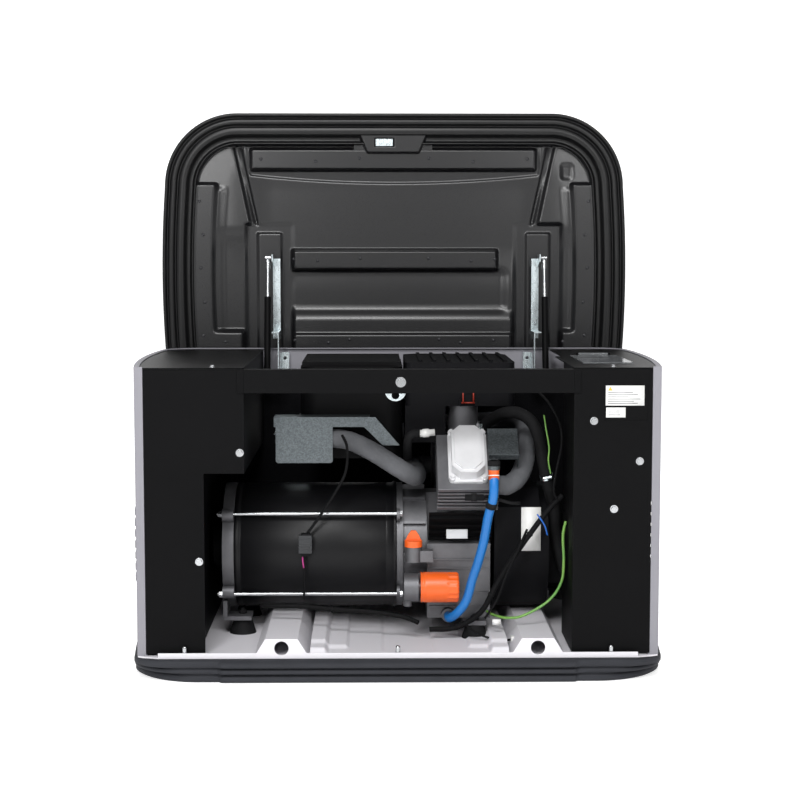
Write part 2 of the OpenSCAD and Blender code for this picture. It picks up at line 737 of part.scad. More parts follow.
module air_box() {
    color("#18181a") {
        difference() {
            translate([0, 0, 556]) linear_extrude(98) polygon(concat(
                arc([249, -43], 17, -90, 0), arc([226, 230], 40, 0, 90),
                arc([59, 230], 40, 90, 180), arc([36, -43], 17, 180, 270)));
            translate([0, 0, 560]) linear_extrude(90) polygon([[24, -55], [261, -55],
                [261, 262], [24, 262]]);
        }
        for (x = [50 : 32 : 242]) block([x, x + 8], [-40, 240], [653, 659]);
        block([19, 110], [-60, 60], [474, 557]);
        block([128, 192], [-66, -59], [600, 612]);
        for (x = [141, 176]) block([x, x + 4], [-68, -59], [556, 572]);
    }
}
clip_pivot = [-65, 564];
module air_box_clip() {
    color("#a13a2c") {
        rod_x(1.6, [145.3, 175.7], clip_pivot[0], clip_pivot[1]);
        for (x = [149, 172]) rod_z(1.6, x, clip_pivot[0] - 4.5, [clip_pivot[1], 596]);
        for (x = [149, 172]) rod_y(1.6, x, [clip_pivot[0] - 4.5, clip_pivot[0]],
            clip_pivot[1]);
        rod_x(1.6, [149, 172], clip_pivot[0] - 4.5, 596);
        rod_x(4, [155, 166], clip_pivot[0] - 4.5, 596);
    }
}
module fuel_mixer() {
    color("#8b8c8f") {
        rod_z(34, 151, axis_y, [470, 556]);
        block([118, 184], [-52, 12], [376, 471]);
        for (side = [-1, 1])
            block([132, 170], [axis_y - (side < 0 ? 74 : -20), axis_y + (side < 0 ? -20 : 74)],
                [398, 424]);
        rod_x(15, [170, 186], -22, 505);
    }
}
module gas_regulator() {
    color("#6f7479") {
        rod_z(58, gas_x, 88, [92, 112]);
        rod_z(66, gas_x, 88, [111, 117]);
        rod_z(58, gas_x, 88, [116, 136]);
        rod_z(20, gas_x, 88, [135, 150]);
        rod_y(15, gas_x, [8, 40], gas_z);
        block([gas_x - 15, gas_x + 15], [70, 110], [floor_z, 93]);
        difference() {
            union() {
                rod_y(12.5, gas_x, [140, 350], gas_z);
                rod_y(13.35, gas_x, [349, 385], gas_z);
            }
            rod_y(10, gas_x, [150, 386], gas_z);
        }
    }
}
module fuel_hose() {
    color("#202124") tube(fuel_route, 13.5, 12, 1);
}
module exhaust_pipes() {
    color("#6c6d70") {
        tube(rear_exhaust_route, 21, 16);
        tube(front_exhaust_route, 21, 16);
    }
}
module muffler() {
    color("#1b1b1d") difference() {
        union() {
            translate([0, 0, 440]) linear_extrude(205) polygon(muffler_outline(40));
            block([-212, 9], [-60, 235], [644, 656]);
            rod_y(24, -110, [249, 328], 515);
        }
        translate([0, 0, 442]) linear_extrude(200) polygon(muffler_outline(38));
        rod_y(22, -110, [240, 330], 515);
    }
}
function muffler_outline(r) = concat(arc([-27, 210], r, 0, 90), arc([-176, 210], r, 90, 180),
    arc([-176, -35], r, 180, 270), arc([-27, -35], r, 270, 360));
module heat_shield() {
    color("#98a0a2") {
        along_y([-135, -133]) polygon([[-272, 539], [-48, 539], [6, 476], [-32, 476],
            [-73, 517], [-142, 517], [-142, 441], [-146, 437], [-264, 437], [-268, 441],
            [-268, 517], [-272, 517]]);
        block([-272, -60], [-134, -75.5], [537, 539]);
        block([-272, -217], [-134, -40], [500, 502]);
        block([-218, -216], [-134, -40], [500, 539]);
    }
}
module head_shield() {
    color("#a9abad") {
        on_axis() translate([cyl_x, 0, 0]) rotate([bank_angle, 0, 0]) {
            block([46, 112], [17, 100], [292, 294]);
            block([110, 112], [17, 100], [260, 293]);
            block([46, 112], [17, 19], [290, 306]);
        }
        difference() {
            rod_z(13, 203, plug_y, [442, 458]);
            rod_z(9.9, 203, plug_y, [441, 446]);
        }
        block([198, 208], [plug_y, -222], [456, 459]);
    }
}
module starter_motor() {
    color("#232427") {
        rod_x(38, [80, 203], 162, 150);
        rod_x(30, [72, 81], 162, 150);
        rod_x(20, [96, 190], 168, 205);
        block([120, 160], [120, 126], [130, 170]);
        block([130, 150], [155, 175], [180, 192]);
    }
}
module drain_hose() {
    color("#1c82cf") tube(drain_route, 9.8, 12);
}
module rubber_mounts() {
    for (m = mount_spots) {
        color("#1a1a1b") translate([m[0], m[1], floor_z])
            cylinder(r1 = 30, r2 = 20, h = mount_top - floor_z);
        color("#c9b36a") {
            rod_z(5, m[0], m[1], [mount_top - 1, mount_top + 22]);
            translate([m[0], m[1], mount_top + 10]) cylinder(r = 9, h = 8, $fn = 6);
        }
    }
}

module wiring_harness() {
    color("#161617") {
        tube(main_loom_route, 6, 8, 2);
        tube(tail_loom_route, 5, 8, 2);
        block([48, 70], [-210, -190], [70, 92]);
        block([198, 230], [-272, -258], [floor_z, floor_z + 15]);
        tube([[362, -262, 132], [330, -266, 122], [280, -266, 110], [246, -266, 84],
            [230, -265, 61]], 3);
    }
}
module sensor_lead() {
    color("#141415") {
        tube(sensor_route, 3.2);
        block([-211, -191], [-180, -164], [236, 287]);
        tube(sensor_tail_route, 2.6);
    }
}
module ground_wire() {
    color("#3f9b57") tube(ground_route, 3, 8, 2);
}
module controller() {
    x = [404, 504];
    color("#232528") difference() {
        union() {
            block(x, [-205, 26], [590, 648]);
            for (k = [[x[0] - 2.5, x[0]], [x[1], x[1] + 2.5]])
                block(k, [-205, 26], [590, plate_z]);
        }
        block([x[0] + 18, x[1] - 18], [-70, 0], [646, 649]);
        rod_x(9.5, [435.5, 456.5], -140, 648);
    }
}
module mode_switch() {
    color("#c7c9cb") difference() {
        rod_x(9, [436, 456], -140, 648);
        block([435, 457], [-150, -130], [652, 660]);
    }
}
module battery() {
    color("#26282b") {
        block([372, 544], [-320, -145], [56, 238]);
        block([378, 538], [-314, -151], [237, 246]);
        for (x = [398, 518]) rod_z(9, x, -170, [245, 258]);
    }
}

// ---- Lid ----

module lid_shell() {
    steps = [[0, lid_h - 16], [4, lid_h - 10], [10, lid_h - 4], [18, lid_h]];
    color("#1d1d1f") opened() translate([0, 0, lid_rim_z]) difference() {
        for (s = steps) linear_extrude(s[1]) polygon(closed(lid_half(s[0])));
        translate([0, 0, -1]) linear_extrude(lid_h - sheet + 1)
            polygon(closed(lid_half(18 + sheet)));
        translate([0, 0, -1]) linear_extrude(lid_h - 18)
            polygon(closed(lid_half(sheet)));
    }
}

// Moulded liner: a pan with hollow pads and beams that stiffen it
liner_z = lid_rim_z + 45;
pads = concat(
    [for (side = [-1, 1]) [side * 455 - 22, side * 455 + 22, -200, 220, 22]],
    [for (side = [-1, 1]) [side * 500 - 6, side * 500 + 6, -220, 210, 16]],
    [[-330, 330, -300, -245, 22], [-230, 250, -20, 40, 20], [-235, 255, 200, 245, 20],
    [-380, 380, -324, -314, 16]]);
module lid_liner() {
    wall = 2.5;
    color("#202022") opened() difference() {
        union() {
            translate([0, 0, liner_z]) linear_extrude(3) polygon(closed(lid_half(21)));
            for (p = pads) block([p[0], p[1]], [p[2], p[3]], [lid_rim_z + p[4], liner_z + 1]);
        }
        for (p = pads) block([p[0] + wall, p[1] - wall], [p[2] + wall, p[3] - wall],
            [lid_rim_z + p[4] + wall, liner_z + 5]);
    }
}

// Goose-neck arm from the hinge pin, round the rear wall's edge and along the lid
module hinge_arm() {
    z = lid_rim_z + 3;
    difference() {
        union() {
            along_x([-9.5, -7]) polygon([[pivot[0] - 104, pivot[1] - 11],
                [pivot[0], pivot[1] - 11], [pivot[0] + 11, pivot[1]],
                [pivot[0], pivot[1] + 11], [pivot[0] - 84, pivot[1] + 11],
                [pivot[0] - 84, z + 14], [5, z + 14], [5, z], [pivot[0] - 104, z]]);
            rod_x(11, [-9.5, 8], pivot[0], pivot[1]);
            block([-9.5, 9.5], [5, pivot[0] - 84], [z + 12, z + 14.5]);
            block([-9.5, 8], [pivot[0] - 104, pivot[0] - 101.5], [pivot[1] - 11, z + 13]);
            for (y = [10, 180])
                block([-9.5, 9.5], [y, y + 14], [z + 14, liner_z]);
        }
        rod_x(5 + pin_clear, [-11, 10], pivot[0], pivot[1]);
    }
    ball = [pivot[0] - (strut_top[1] - pivot[1]), pivot[1] + strut_top[0] - pivot[0]];
    along_x([7, 9.5]) polygon([[ball[0] - 9, ball[1] - 9], [ball[0] + 9, ball[1] - 9],
        [ball[0] + 22, z + 14], [ball[0] - 9, z + 14]]);
}
module hinge_arms() {
    color("#b5c4c4") opened() hinge_sides() hinge_arm();
}

// Gas struts, drawn along the line from the base pin to the top fixing
strut_len = norm(strut_top - strut_base);
strut_lean = atan2(strut_top[0] - strut_base[0], strut_top[1] - strut_base[1]);
module strut_line() {
    hinge_sides() translate([19, strut_base[0], strut_base[1]])
        rotate([-strut_lean, 0, 0]) children();
}
module strut_tubes() {
    color("#17181a") strut_line() difference() {
        union() {
            rod_x(7, [-7, 7], 0, 0);
            translate([0, 0, 5]) cylinder(r = 6, h = 20);
            translate([0, 0, 24]) cylinder(r = 8, h = 186);
        }
        rod_x(4 + pin_clear, [-8, 8], 0, 0);
        translate([0, 0, 60]) cylinder(r = 4 + pin_clear, h = 160);
    }
}
module strut_rods() {
    color("#d5d8da") strut_line() {
        translate([0, 0, 125]) cylinder(r = 4, h = strut_len - 130);
        translate([0, 0, strut_len - 28]) cylinder(r = 6.5, h = 22);
        rod_x(6.5, [-7.5, 6.5], 0, strut_len);
    }
}

base_pad();
base_tray();
left_side_panel();
right_side_panel();
rear_panel();
rear_insulation();
left_duct_box();
right_control_box();
left_top_plate();
right_top_plate();
front_crossbar();
latch_striker();
hinge_brackets();
enclosure_screws();
front_studs();
inlet_duct();
stator_housing();
stator_core();
end_bracket();
tie_rods();
engine_adapter();
rear_bearing();
brush_cover();
crankcase();
cylinders();
cylinder_heads();
valve_covers();
cylinder_shrouds();
blower_housing();
oil_filter_base();
oil_filter();
spark_plug_lead();
air_box();
fuel_mixer();
gas_regulator();
fuel_hose();
exhaust_pipes();
muffler();
heat_shield();
head_shield();
starter_motor();
drain_hose();
rubber_mounts();
wiring_harness();
sensor_lead();
ground_wire();
controller();
battery();
drive_shaft();
rotor_core();
flywheel();
lid_shell();
lid_liner();
hinge_arms();
strut_tubes();
strut_rods();
oil_filler_cap();
air_box_clip();
control_window();
mode_switch();
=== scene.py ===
"""Home standby generator: the visible surfaces and finishes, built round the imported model."""
import json
import math

import bmesh
import bpy
import numpy as np
from bpy.props import FloatProperty, FloatVectorProperty, IntProperty, PointerProperty
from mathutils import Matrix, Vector


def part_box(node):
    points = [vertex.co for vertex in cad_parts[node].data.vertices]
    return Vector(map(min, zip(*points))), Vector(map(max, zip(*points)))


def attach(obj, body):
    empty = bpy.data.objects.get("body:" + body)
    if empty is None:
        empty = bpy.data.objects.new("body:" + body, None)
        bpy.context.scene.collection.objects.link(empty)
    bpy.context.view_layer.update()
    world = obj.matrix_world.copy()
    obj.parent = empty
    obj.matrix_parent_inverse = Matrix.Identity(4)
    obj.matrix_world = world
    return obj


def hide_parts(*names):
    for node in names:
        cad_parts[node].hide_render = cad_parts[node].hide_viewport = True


bl_info = {
    "name": "Home Standby Generator",
    "version": (1, 0, 0),
    "blender": (4, 5, 0),
    "location": "View3D > Sidebar > Generator",
    "description": "Builds the surfaces, hoses, castings and finishes of a standby generator",
    "category": "Object",
}

MM = 0.001
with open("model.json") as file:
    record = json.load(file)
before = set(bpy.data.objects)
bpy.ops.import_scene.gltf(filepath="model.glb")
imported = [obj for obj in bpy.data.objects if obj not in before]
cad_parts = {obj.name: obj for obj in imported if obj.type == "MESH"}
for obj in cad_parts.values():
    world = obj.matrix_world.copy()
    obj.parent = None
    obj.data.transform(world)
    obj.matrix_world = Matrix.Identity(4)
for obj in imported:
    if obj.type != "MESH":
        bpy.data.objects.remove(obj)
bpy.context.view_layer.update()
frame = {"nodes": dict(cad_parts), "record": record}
RECORD = frame["record"]
BODY_OF = {
    node: body for body, nodes in RECORD["behaviour"]["bodies"].items() for node in nodes
}
SLOT_OF = {part["node"]: part["material_slot"] for part in RECORD["subparts"]}
JOINT = {joint["name"]: joint for joint in RECORD["behaviour"]["joints"]}


def corners(node):
    """Lowest and highest corner of a CAD node, as two arrays in metres."""
    low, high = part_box(node)
    return np.array(low), np.array(high)


def to_linear(code):
    """An sRGB hex colour as linear red, green and blue."""
    value = np.array([int(code[i : i + 2], 16) for i in (1, 3, 5)]) / 255
    return tuple(
        float(v)
        for v in np.where(value <= 0.04045, value / 12.92, ((value + 0.055) / 1.055) ** 2.4)
    )


# ---- Sizes and colours a user may change ----


def size(name, about, default, low=0.0, high=1.0):
    """A length property in metres."""
    return FloatProperty(
        name=name, description=about, default=default, min=low, max=high, unit="LENGTH"
    )


def tint(name, about, code):
    """A colour property that starts from an sRGB hex value."""
    return FloatVectorProperty(
        name=name, description=about, default=to_linear(code), subtype="COLOR", min=0, max=1
    )


class GeneratorSizes(bpy.types.PropertyGroup):
    """Sizes of the finished surfaces."""

    sheet_edge: size("Sheet edge", "Radius on folded sheet edges", 0.0008, 0, 0.002)
    casting_edge: size("Casting edge", "Radius on cast edges", 0.0022, 0, 0.004)
    moulded_edge: size("Moulded edge", "Radius on moulded edges", 0.003, 0, 0.006)
    fastener_edge: size("Fastener edge", "Radius on screws and pins", 0.0004, 0, 0.001)
    pan_step: size("Pan step", "Width of the slopes between the liner's levels", 0.009, 0.004, 0.02)
    rivet_radius: size("Rivet radius", "Radius of the liner's push rivets", 0.0042, 0.002, 0.008)
    groove_depth: size("Groove depth", "Depth of the groove inside the lid's rim", 0.022, 0, 0.03)
    pad_step: size("Pad step", "How far the pad's front apron stands out", 0.01, 0, 0.02)
    clamp_width: size("Clamp width", "Width of the hose clamps", 0.009, 0.005, 0.015)
    lens: FloatProperty(
        name="Lens", description="Focal length of the camera", default=75.02, min=35, max=200,
        unit="CAMERA",
    )
    hose_sides: IntProperty(
        name="Hose sides", description="Faces round each hose", default=24, min=8, max=48
    )


class GeneratorColours(bpy.types.PropertyGroup):
    """Base colours of the main finishes."""

    enclosure: tint("Enclosure black", "Powder coat on the boxes, bar and lid", "#0b0b0c")
    # Panel grey is darker than the panels' real light grey coat: painted shade for side panels that
    # get little light
    panel: tint("Panel grey", "Powder coat on the outer panels", "#85848a")
    tray: tint("Tray grey", "Powder coat on the floor tray", "#dddbe0")
    pad: tint("Pad charcoal", "Moulded mounting pad", "#343539")
    liner: tint("Liner black", "Vacuum formed lid liner", "#101012")
    orange: tint("Service orange", "Oil filler cap and oil filter", "#e05c1a")
    hose_blue: tint("Hose blue", "Silicone oil drain hose", "#0f66ad")
    cast: tint("Cast aluminium", "Engine and alternator castings", "#69696c")
    cover: tint("Cover silver", "Painted rocker cover", "#d6d6d8")
    zinc: tint("Zinc plate", "Bright zinc brackets", "#d3dde0")
    ground: tint("Earth green", "Insulation of the earth wire", "#2f8f4f")
    floor: tint("Floor", "Studio floor", "#f2f2f2")


def sizes():
    return bpy.context.scene.generator_sizes


def colours():
    return bpy.context.scene.generator_colours


def shade(colour, factor):
    """A colour made lighter or darker by a factor, with its alpha."""
    return (*[min(1.0, c * factor) for c in tuple(colour)[:3]], 1.0)


# ---- Finishes ----


def add_node(material, kind, values=None, **settings):
    """Adds a shader node. values maps a socket to a constant or to another node's output."""
    tree = material.node_tree
    node = tree.nodes.new(kind)
    for key, value in settings.items():
        setattr(node, key, value)
    for socket, value in (values or {}).items():
        if isinstance(value, bpy.types.NodeSocket):
            tree.links.new(value, node.inputs[socket])
        else:
            node.inputs[socket].default_value = value
    return node


def new_material(name):
    material = bpy.data.materials.get(name)
    if material:
        bpy.data.materials.remove(material)
    material = bpy.data.materials.new(name)
    material.use_nodes = True
    material.node_tree.nodes.clear()
    return material


def surface(
    name,
    colour,
    spread=0.12,
    blotch=90.0,
    grain=1.0,
    depth=0.02,
    rough=(0.45, 0.6),
    metallic=0.0,
    stretch=(1, 1, 1),
    other=None,
    pattern="NOISE",
    shader=None,
):
    """A finish with two tones over blotch mm, and a grain of depth mm every grain mm.

    spread is how far the two tones lie from the colour, unless other names the second one.
    rough is the lowest and highest roughness, which follows the grain. shader sets sockets
    of the shader itself.
    """
    material = new_material(name)
    out = add_node(material, "ShaderNodeTexCoord").outputs["Object"]
    place = add_node(material, "ShaderNodeMapping", {"Vector": out, "Scale": stretch}).outputs[0]
    broad = add_node(
        material,
        "ShaderNodeTexNoise",
        {"Vector": place, "Scale": 1000 / blotch, "Detail": 4.0, "Roughness": 0.55},
    ).outputs[0]
    mixed = add_node(
        material,
        "ShaderNodeMix",
        {
            0: broad,
            6: shade(colour, 1 - spread),
            7: shade(other, 1) if other else shade(colour, 1 + spread),
        },
        data_type="RGBA",
    ).outputs[2]
    if pattern == "CELLS":
        fine = add_node(
            material, "ShaderNodeTexVoronoi", {"Vector": place, "Scale": 1000 / grain}
        ).outputs["Distance"]
    elif pattern == "BANDS":
        fine = add_node(
            material,
            "ShaderNodeTexWave",
            {"Vector": place, "Scale": 1000 / grain / 20 * math.pi, "Distortion": 0.6},
        ).outputs["Fac"]
    else:
        fine = add_node(
            material,
            "ShaderNodeTexNoise",
            {"Vector": place, "Scale": 1000 / grain, "Detail": 3.0},
        ).outputs[0]
    rubbed = add_node(
        material,
        "ShaderNodeMapRange",
        {"Value": fine, "From Min": 0.25, "From Max": 0.75, "To Min": rough[0], "To Max": rough[1]},
    ).outputs[0]
    bump = add_node(
        material,
        "ShaderNodeBump",
        {"Height": fine, "Strength": 1.0, "Distance": depth * MM},
    ).outputs[0]
    values = {"Base Color": mixed, "Roughness": rubbed, "Normal": bump, "Metallic": metallic}
    values.update(shader or {})
    principled = add_node(material, "ShaderNodeBsdfPrincipled", values)
    add_node(material, "ShaderNodeOutputMaterial", {"Surface": principled.outputs[0]})
    return material


def spangled(name, colour):
    """Galvanised sheet, minimised spangle: crystals 2.5 mm across in close greys."""
    material = new_material(name)
    place = add_node(material, "ShaderNodeTexCoord").outputs["Object"]
    cells = add_node(material, "ShaderNodeTexVoronoi", {"Vector": place, "Scale": 1000 / 2.5})
    fleck = add_node(
        material, "ShaderNodeTexNoise", {"Vector": place, "Scale": 1000 / 2.2, "Detail": 5.0}
    ).outputs[0]
    grey = add_node(material, "ShaderNodeSeparateColor", {0: cells.outputs["Color"]}).outputs[0]
    mixed = add_node(
        material,
        "ShaderNodeMath",
        {0: grey, 1: fleck},
        operation="MULTIPLY",
    ).outputs[0]
    tone = add_node(
        material,
        "ShaderNodeMix",
        {0: mixed, 6: shade(colour, 0.6), 7: shade(colour, 1.35)},
        data_type="RGBA",
    ).outputs[2]
    rubbed = add_node(
        material, "ShaderNodeMapRange", {"Value": mixed, "To Min": 0.35, "To Max": 0.62}
    ).outputs[0]
    principled = add_node(
        material,
        "ShaderNodeBsdfPrincipled",
        {"Base Color": tone, "Roughness": rubbed, "Metallic": 1.0},
    )
    add_node(material, "ShaderNodeOutputMaterial", {"Surface": principled.outputs[0]})
    return material


def tinted_window(name):
    """Polycarbonate, smoked and clear: the controller shows dimly through it."""
    material = new_material(name)
    place = add_node(material, "ShaderNodeTexCoord").outputs["Object"]
    haze = add_node(
        material, "ShaderNodeTexNoise", {"Vector": place, "Scale": 1000 / 30, "Detail": 3.0}
    ).outputs[0]
    rubbed = add_node(
        material, "ShaderNodeMapRange", {"Value": haze, "To Min": 0.08, "To Max": 0.22}
    ).outputs[0]
    tone = add_node(
        material,
        "ShaderNodeMix",
        {0: haze, 6: (0.16, 0.17, 0.18, 1), 7: (0.24, 0.25, 0.26, 1)},
        data_type="RGBA",
    ).outputs[2]
    principled = add_node(
        material,
        "ShaderNodeBsdfPrincipled",
        {"Base Color": tone, "Roughness": rubbed, "IOR": 1.58, "Alpha": 0.55},
    )
    add_node(material, "ShaderNodeOutputMaterial", {"Surface": principled.outputs[0]})
    return material


def finishes():
    """Every finish by the record's slot name, with a few more for small fittings."""
    c = colours()
    plain = {"Specular IOR Level": 0.06}
    return {
        # Structural foam, moulded: a stippled dull face
        "pad_composite": surface(
            "structural_foam_moulded", c.pad, 0.2, 60, 2.2, 0.12, (0.5, 0.75), shader=plain
        ),
        # Galvannealed steel, powder coated in light grey: satin with a faint orange peel. Its grey
        # is set darker than that light grey, as painted shade on the side panels
        "light_grey_paint": surface(
            "steel_powder_coated_grey", c.panel, 0.03, 300, 2.5, 0.012, (0.55, 0.68),
            shader={"Specular IOR Level": 0.12},
        ),
        "tray_paint": surface(
            "steel_powder_coated_pale", c.tray, 0.04, 200, 2.5, 0.012, (0.38, 0.5)
        ),
        # Steel, powder coated in black: near flat with a soft sheen
        "black_paint": surface(
            "steel_powder_coated_black", c.enclosure, 0.15, 160, 1.8, 0.014, (0.42, 0.55),
            shader=plain,
        ),
        # Polypropylene, moulded: fine leather texture, duller in the hollows
        "black_plastic": surface(
            "polypropylene_moulded_black", c.liner, 0.2, 70, 1.4, 0.03, (0.42, 0.62),
            shader=plain,
        ),
        # Foam board with a flocked face
        "insulation_foam": surface(
            "acoustic_foam_board", c.liner, 0.3, 14, 3.0, 0.5, (0.85, 0.95), pattern="CELLS",
            shader=plain,
        ),
        # Steel, bright zinc plated: pale blue cast, drawn lines along its length
        "zinc": surface(
            "steel_zinc_plated", c.zinc, 0.1, 18, 2.5, 0.004, (0.22, 0.36), 1.0, (1, 1, 0.25)
        ),
        # Steel, nickel plated and tumbled
        "bright_steel": surface(
            "steel_nickel_plated", to_linear("#b4b6b8"), 0.08, 20, 1.6, 0.004, (0.16, 0.3), 1.0
        ),
        # Steel, ground on centres: rings round the shaft
        "ground_steel": surface(
            "steel_ground", to_linear("#b9bcc0"), 0.06, 20, 1.2, 0.003, (0.2, 0.34), 1.0, (4, 1, 1)
        ),
        "galvanised": spangled("steel_galvanised", to_linear("#6b7174")),
        # Aluminium, sand and die cast: a dull grain with brighter rubbed patches
        "cast_aluminium": surface(
            "aluminium_cast", c.cast, 0.22, 26, 1.5, 0.12, (0.42, 0.62), 0.75
        ),
        # Aluminium casting, sprayed silver: smoother than the bare metal
        "silver_paint": surface(
            "casting_sprayed_silver", c.cover, 0.08, 30, 1.6, 0.05, (0.4, 0.55), 0.35
        ),
        # Silicon steel laminations, stacked: 0.5 mm sheets, drawn here at 2 mm
        "laminations": surface(
            "silicon_steel_stacked", to_linear("#6d7075"), 0.2, 40, 2.0, 0.08, (0.4, 0.6), 0.9,
            pattern="BANDS",
        ),
        # Polyamide, moulded: even colour with a low gloss
        "orange_plastic": surface(
            "polyamide_moulded_orange", c.orange, 0.06, 30, 1.2, 0.02, (0.34, 0.46)
        ),
        # Steel can, enamelled
        "orange_paint": surface(
            "steel_enamelled_orange", c.orange, 0.08, 26, 1.6, 0.02, (0.3, 0.44)
        ),
        # Nitrile rubber, moulded: dull with a bloom
        "rubber": surface(
            "rubber_moulded", to_linear("#1b1b1c"), 0.3, 24, 1.2, 0.05, (0.55, 0.75), shader=plain
        ),
        # Silicone, extruded: smooth and a little waxy
        "blue_hose": surface(
            "silicone_extruded_blue", c.hose_blue, 0.1, 30, 2.0, 0.01, (0.3, 0.42)
        ),
        # Polyester sleeve, braided over the wires: 2.5 mm plait
        "wire_black": surface(
            "polyester_braided_sleeve", to_linear("#141415"), 0.4, 8, 2.5, 0.35, (0.5, 0.7),
            pattern="CELLS", shader=plain,
        ),
        # PVC insulation, extruded
        "wire_green": surface(
            "pvc_extruded_green", c.ground, 0.15, 40, 1.5, 0.01, (0.3, 0.4),
            other=to_linear("#8fb04a"),
        ),
        # Glass fibre wrap, woven: 3 mm basket weave, grey with scorched patches
        "exhaust_wrap": surface(
            "glass_fibre_woven_wrap", to_linear("#5c5d60"), 0.3, 45, 3.0, 0.5, (0.6, 0.8),
            pattern="CELLS", shader=plain,
        ),
        "window_plastic": tinted_window("polycarbonate_smoked"),
        # ABS, moulded
        "controller_plastic": surface(
            "abs_moulded_charcoal", to_linear("#232528"), 0.1, 50, 1.2, 0.03, (0.4, 0.55)
        ),
        "battery_case": surface(
            "polypropylene_case", to_linear("#202225"), 0.12, 50, 1.5, 0.03, (0.38, 0.5)
        ),
        "switch_plastic": surface(
            "nylon_moulded_grey", to_linear("#c7c9cb"), 0.05, 30, 1.2, 0.01, (0.3, 0.4)
        ),
        # Spring wire, dipped in red vinyl
        "clip_wire": surface(
            "spring_wire_dipped_red", to_linear("#9c3426"), 0.12, 10, 1.0, 0.02, (0.3, 0.45)
        ),
        # Vinyl label stock, printed plain white and silver
        "label_white": surface(
            "vinyl_label_white", to_linear("#e4e4e2"), 0.03, 20, 1.5, 0.004, (0.3, 0.4)
        ),
        "label_silver": surface(
            "polyester_label_silver", to_linear("#b9bbbd"), 0.06, 20, 1.5, 0.004, (0.28, 0.36), 0.6
        ),
        # Lid skin and liner: the same black, one coated steel and one vacuum formed
        "lid_skin": surface(
            "steel_powder_coated_lid", c.enclosure, 0.15, 220, 1.6, 0.012, (0.3, 0.42),
            shader={"Specular IOR Level": 0.3},
        ),
        "lid_pan": surface(
            "abs_vacuum_formed_grained", c.liner, 0.12, 160, 1.2, 0.02, (0.26, 0.34),
            shader={"Specular IOR Level": 0.5},
        ),
        "rivet_head": surface(
            "nylon_rivet_heads", to_linear("#2a2a2d"), 0.1, 20, 1.0, 0.01, (0.3, 0.4)
        ),
        # Stator shell, dipped in air-drying enamel: black with a soft sheen
        "stator_enamel": surface(
            "steel_enamelled_black", to_linear("#0c0c0e"), 0.1, 120, 3.0, 0.012, (0.34, 0.46),
            shader={"Specular IOR Level": 0.2},
        ),
        # Copper, formed: warm and dull where it has tarnished
        "copper": surface(
            "copper_formed", to_linear("#c06a3a"), 0.2, 12, 1.0, 0.02, (0.3, 0.45), 0.9
        ),
        # Acetal, turned: clean white fittings
        "white_plastic": surface(
            "acetal_turned_white", to_linear("#dededc"), 0.04, 20, 1.0, 0.008, (0.3, 0.42)
        ),
        "print_grey": surface(
            "ink_printed_grey", to_linear("#6c6e72"), 0.1, 12, 0.6, 0.002, (0.4, 0.5)
        ),
        "print_yellow": surface(
            "ink_printed_yellow", to_linear("#d9b23a"), 0.08, 12, 0.6, 0.002, (0.4, 0.5)
        ),
        "wire_magenta": surface(
            "pvc_extruded_magenta", to_linear("#a8327a"), 0.1, 20, 1.0, 0.01, (0.3, 0.4)
        ),
        "wire_red": surface(
            "pvc_extruded_red", to_linear("#b3242a"), 0.1, 20, 1.0, 0.01, (0.3, 0.4)
        ),
        "wire_blue": surface(
            "pvc_extruded_blue", to_linear("#1d5fb8"), 0.1, 20, 1.0, 0.01, (0.3, 0.4)
        ),
    }


FINISH = {}

# ---- Mesh building ----


def grid_faces(rows, columns, around=False):
    """Quads of a grid of rows x columns points; around closes each row into a ring."""
    i = np.arange(rows - 1)
    j = np.arange(columns if around else columns - 1)
    i, j = np.meshgrid(i, j, indexing="ij")
    k, l = i + 1, (j + 1) % columns
    quads = np.stack([i * columns + j, k * columns + j, k * columns + l, i * columns + l], -1)
    return quads.reshape(-1, 4)


def sheet_of(points, around=False, caps=False):
    """A shell (points, faces) from a grid of points; caps fills the first and last rows."""
    rows, columns = points.shape[:2]
    faces = grid_faces(rows, columns, around).tolist()
    if caps:
        faces.append(list(range(columns - 1, -1, -1)))
        faces.append(list(range((rows - 1) * columns, rows * columns)))
    return points.reshape(-1, 3), faces


def joined(shells):
    """Several shells as one."""
    points, faces, start = [], [], 0
    for shell_points, shell_faces in shells:
        points.append(np.asarray(shell_points, float))
        faces += [[k + start for k in face] for face in shell_faces]
        start += len(shell_points)
    return np.vstack(points), faces


def finish_piece(obj, body, slot, replaced=(), finish=None):
    """Gives a piece the finish of its slot, or the finish named, puts it under its body and hides
    the CAD nodes that it replaces.
    """
    obj.data.materials.clear()
    obj.data.materials.append(FINISH[finish or slot])
    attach(obj, body)
    if replaced:
        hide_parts(*replaced)
    return obj


def make_piece(
    name, shell, body, slot, replaced=(), finish=None, bevel=0.0, wall=0.0, closed=True,
    limit=35,
):
    """Builds a mesh object from a shell, with faces outward, and gives it its finish."""
    points, faces = shell
    mesh = bpy.data.meshes.new(name)
    mesh.from_pydata(points.tolist(), [], faces)
    tidy = bmesh.new()
    tidy.from_mesh(mesh)
    bmesh.ops.remove_doubles(tidy, verts=tidy.verts, dist=1e-6)
    if closed:
        bmesh.ops.recalc_face_normals(tidy, faces=tidy.faces)
    tidy.to_mesh(mesh)
    tidy.free()
    obj = bpy.data.objects.new(name, mesh)
    bpy.context.scene.collection.objects.link(obj)
    dress(obj, bevel, wall, limit)
    return finish_piece(obj, body, slot, replaced, finish)


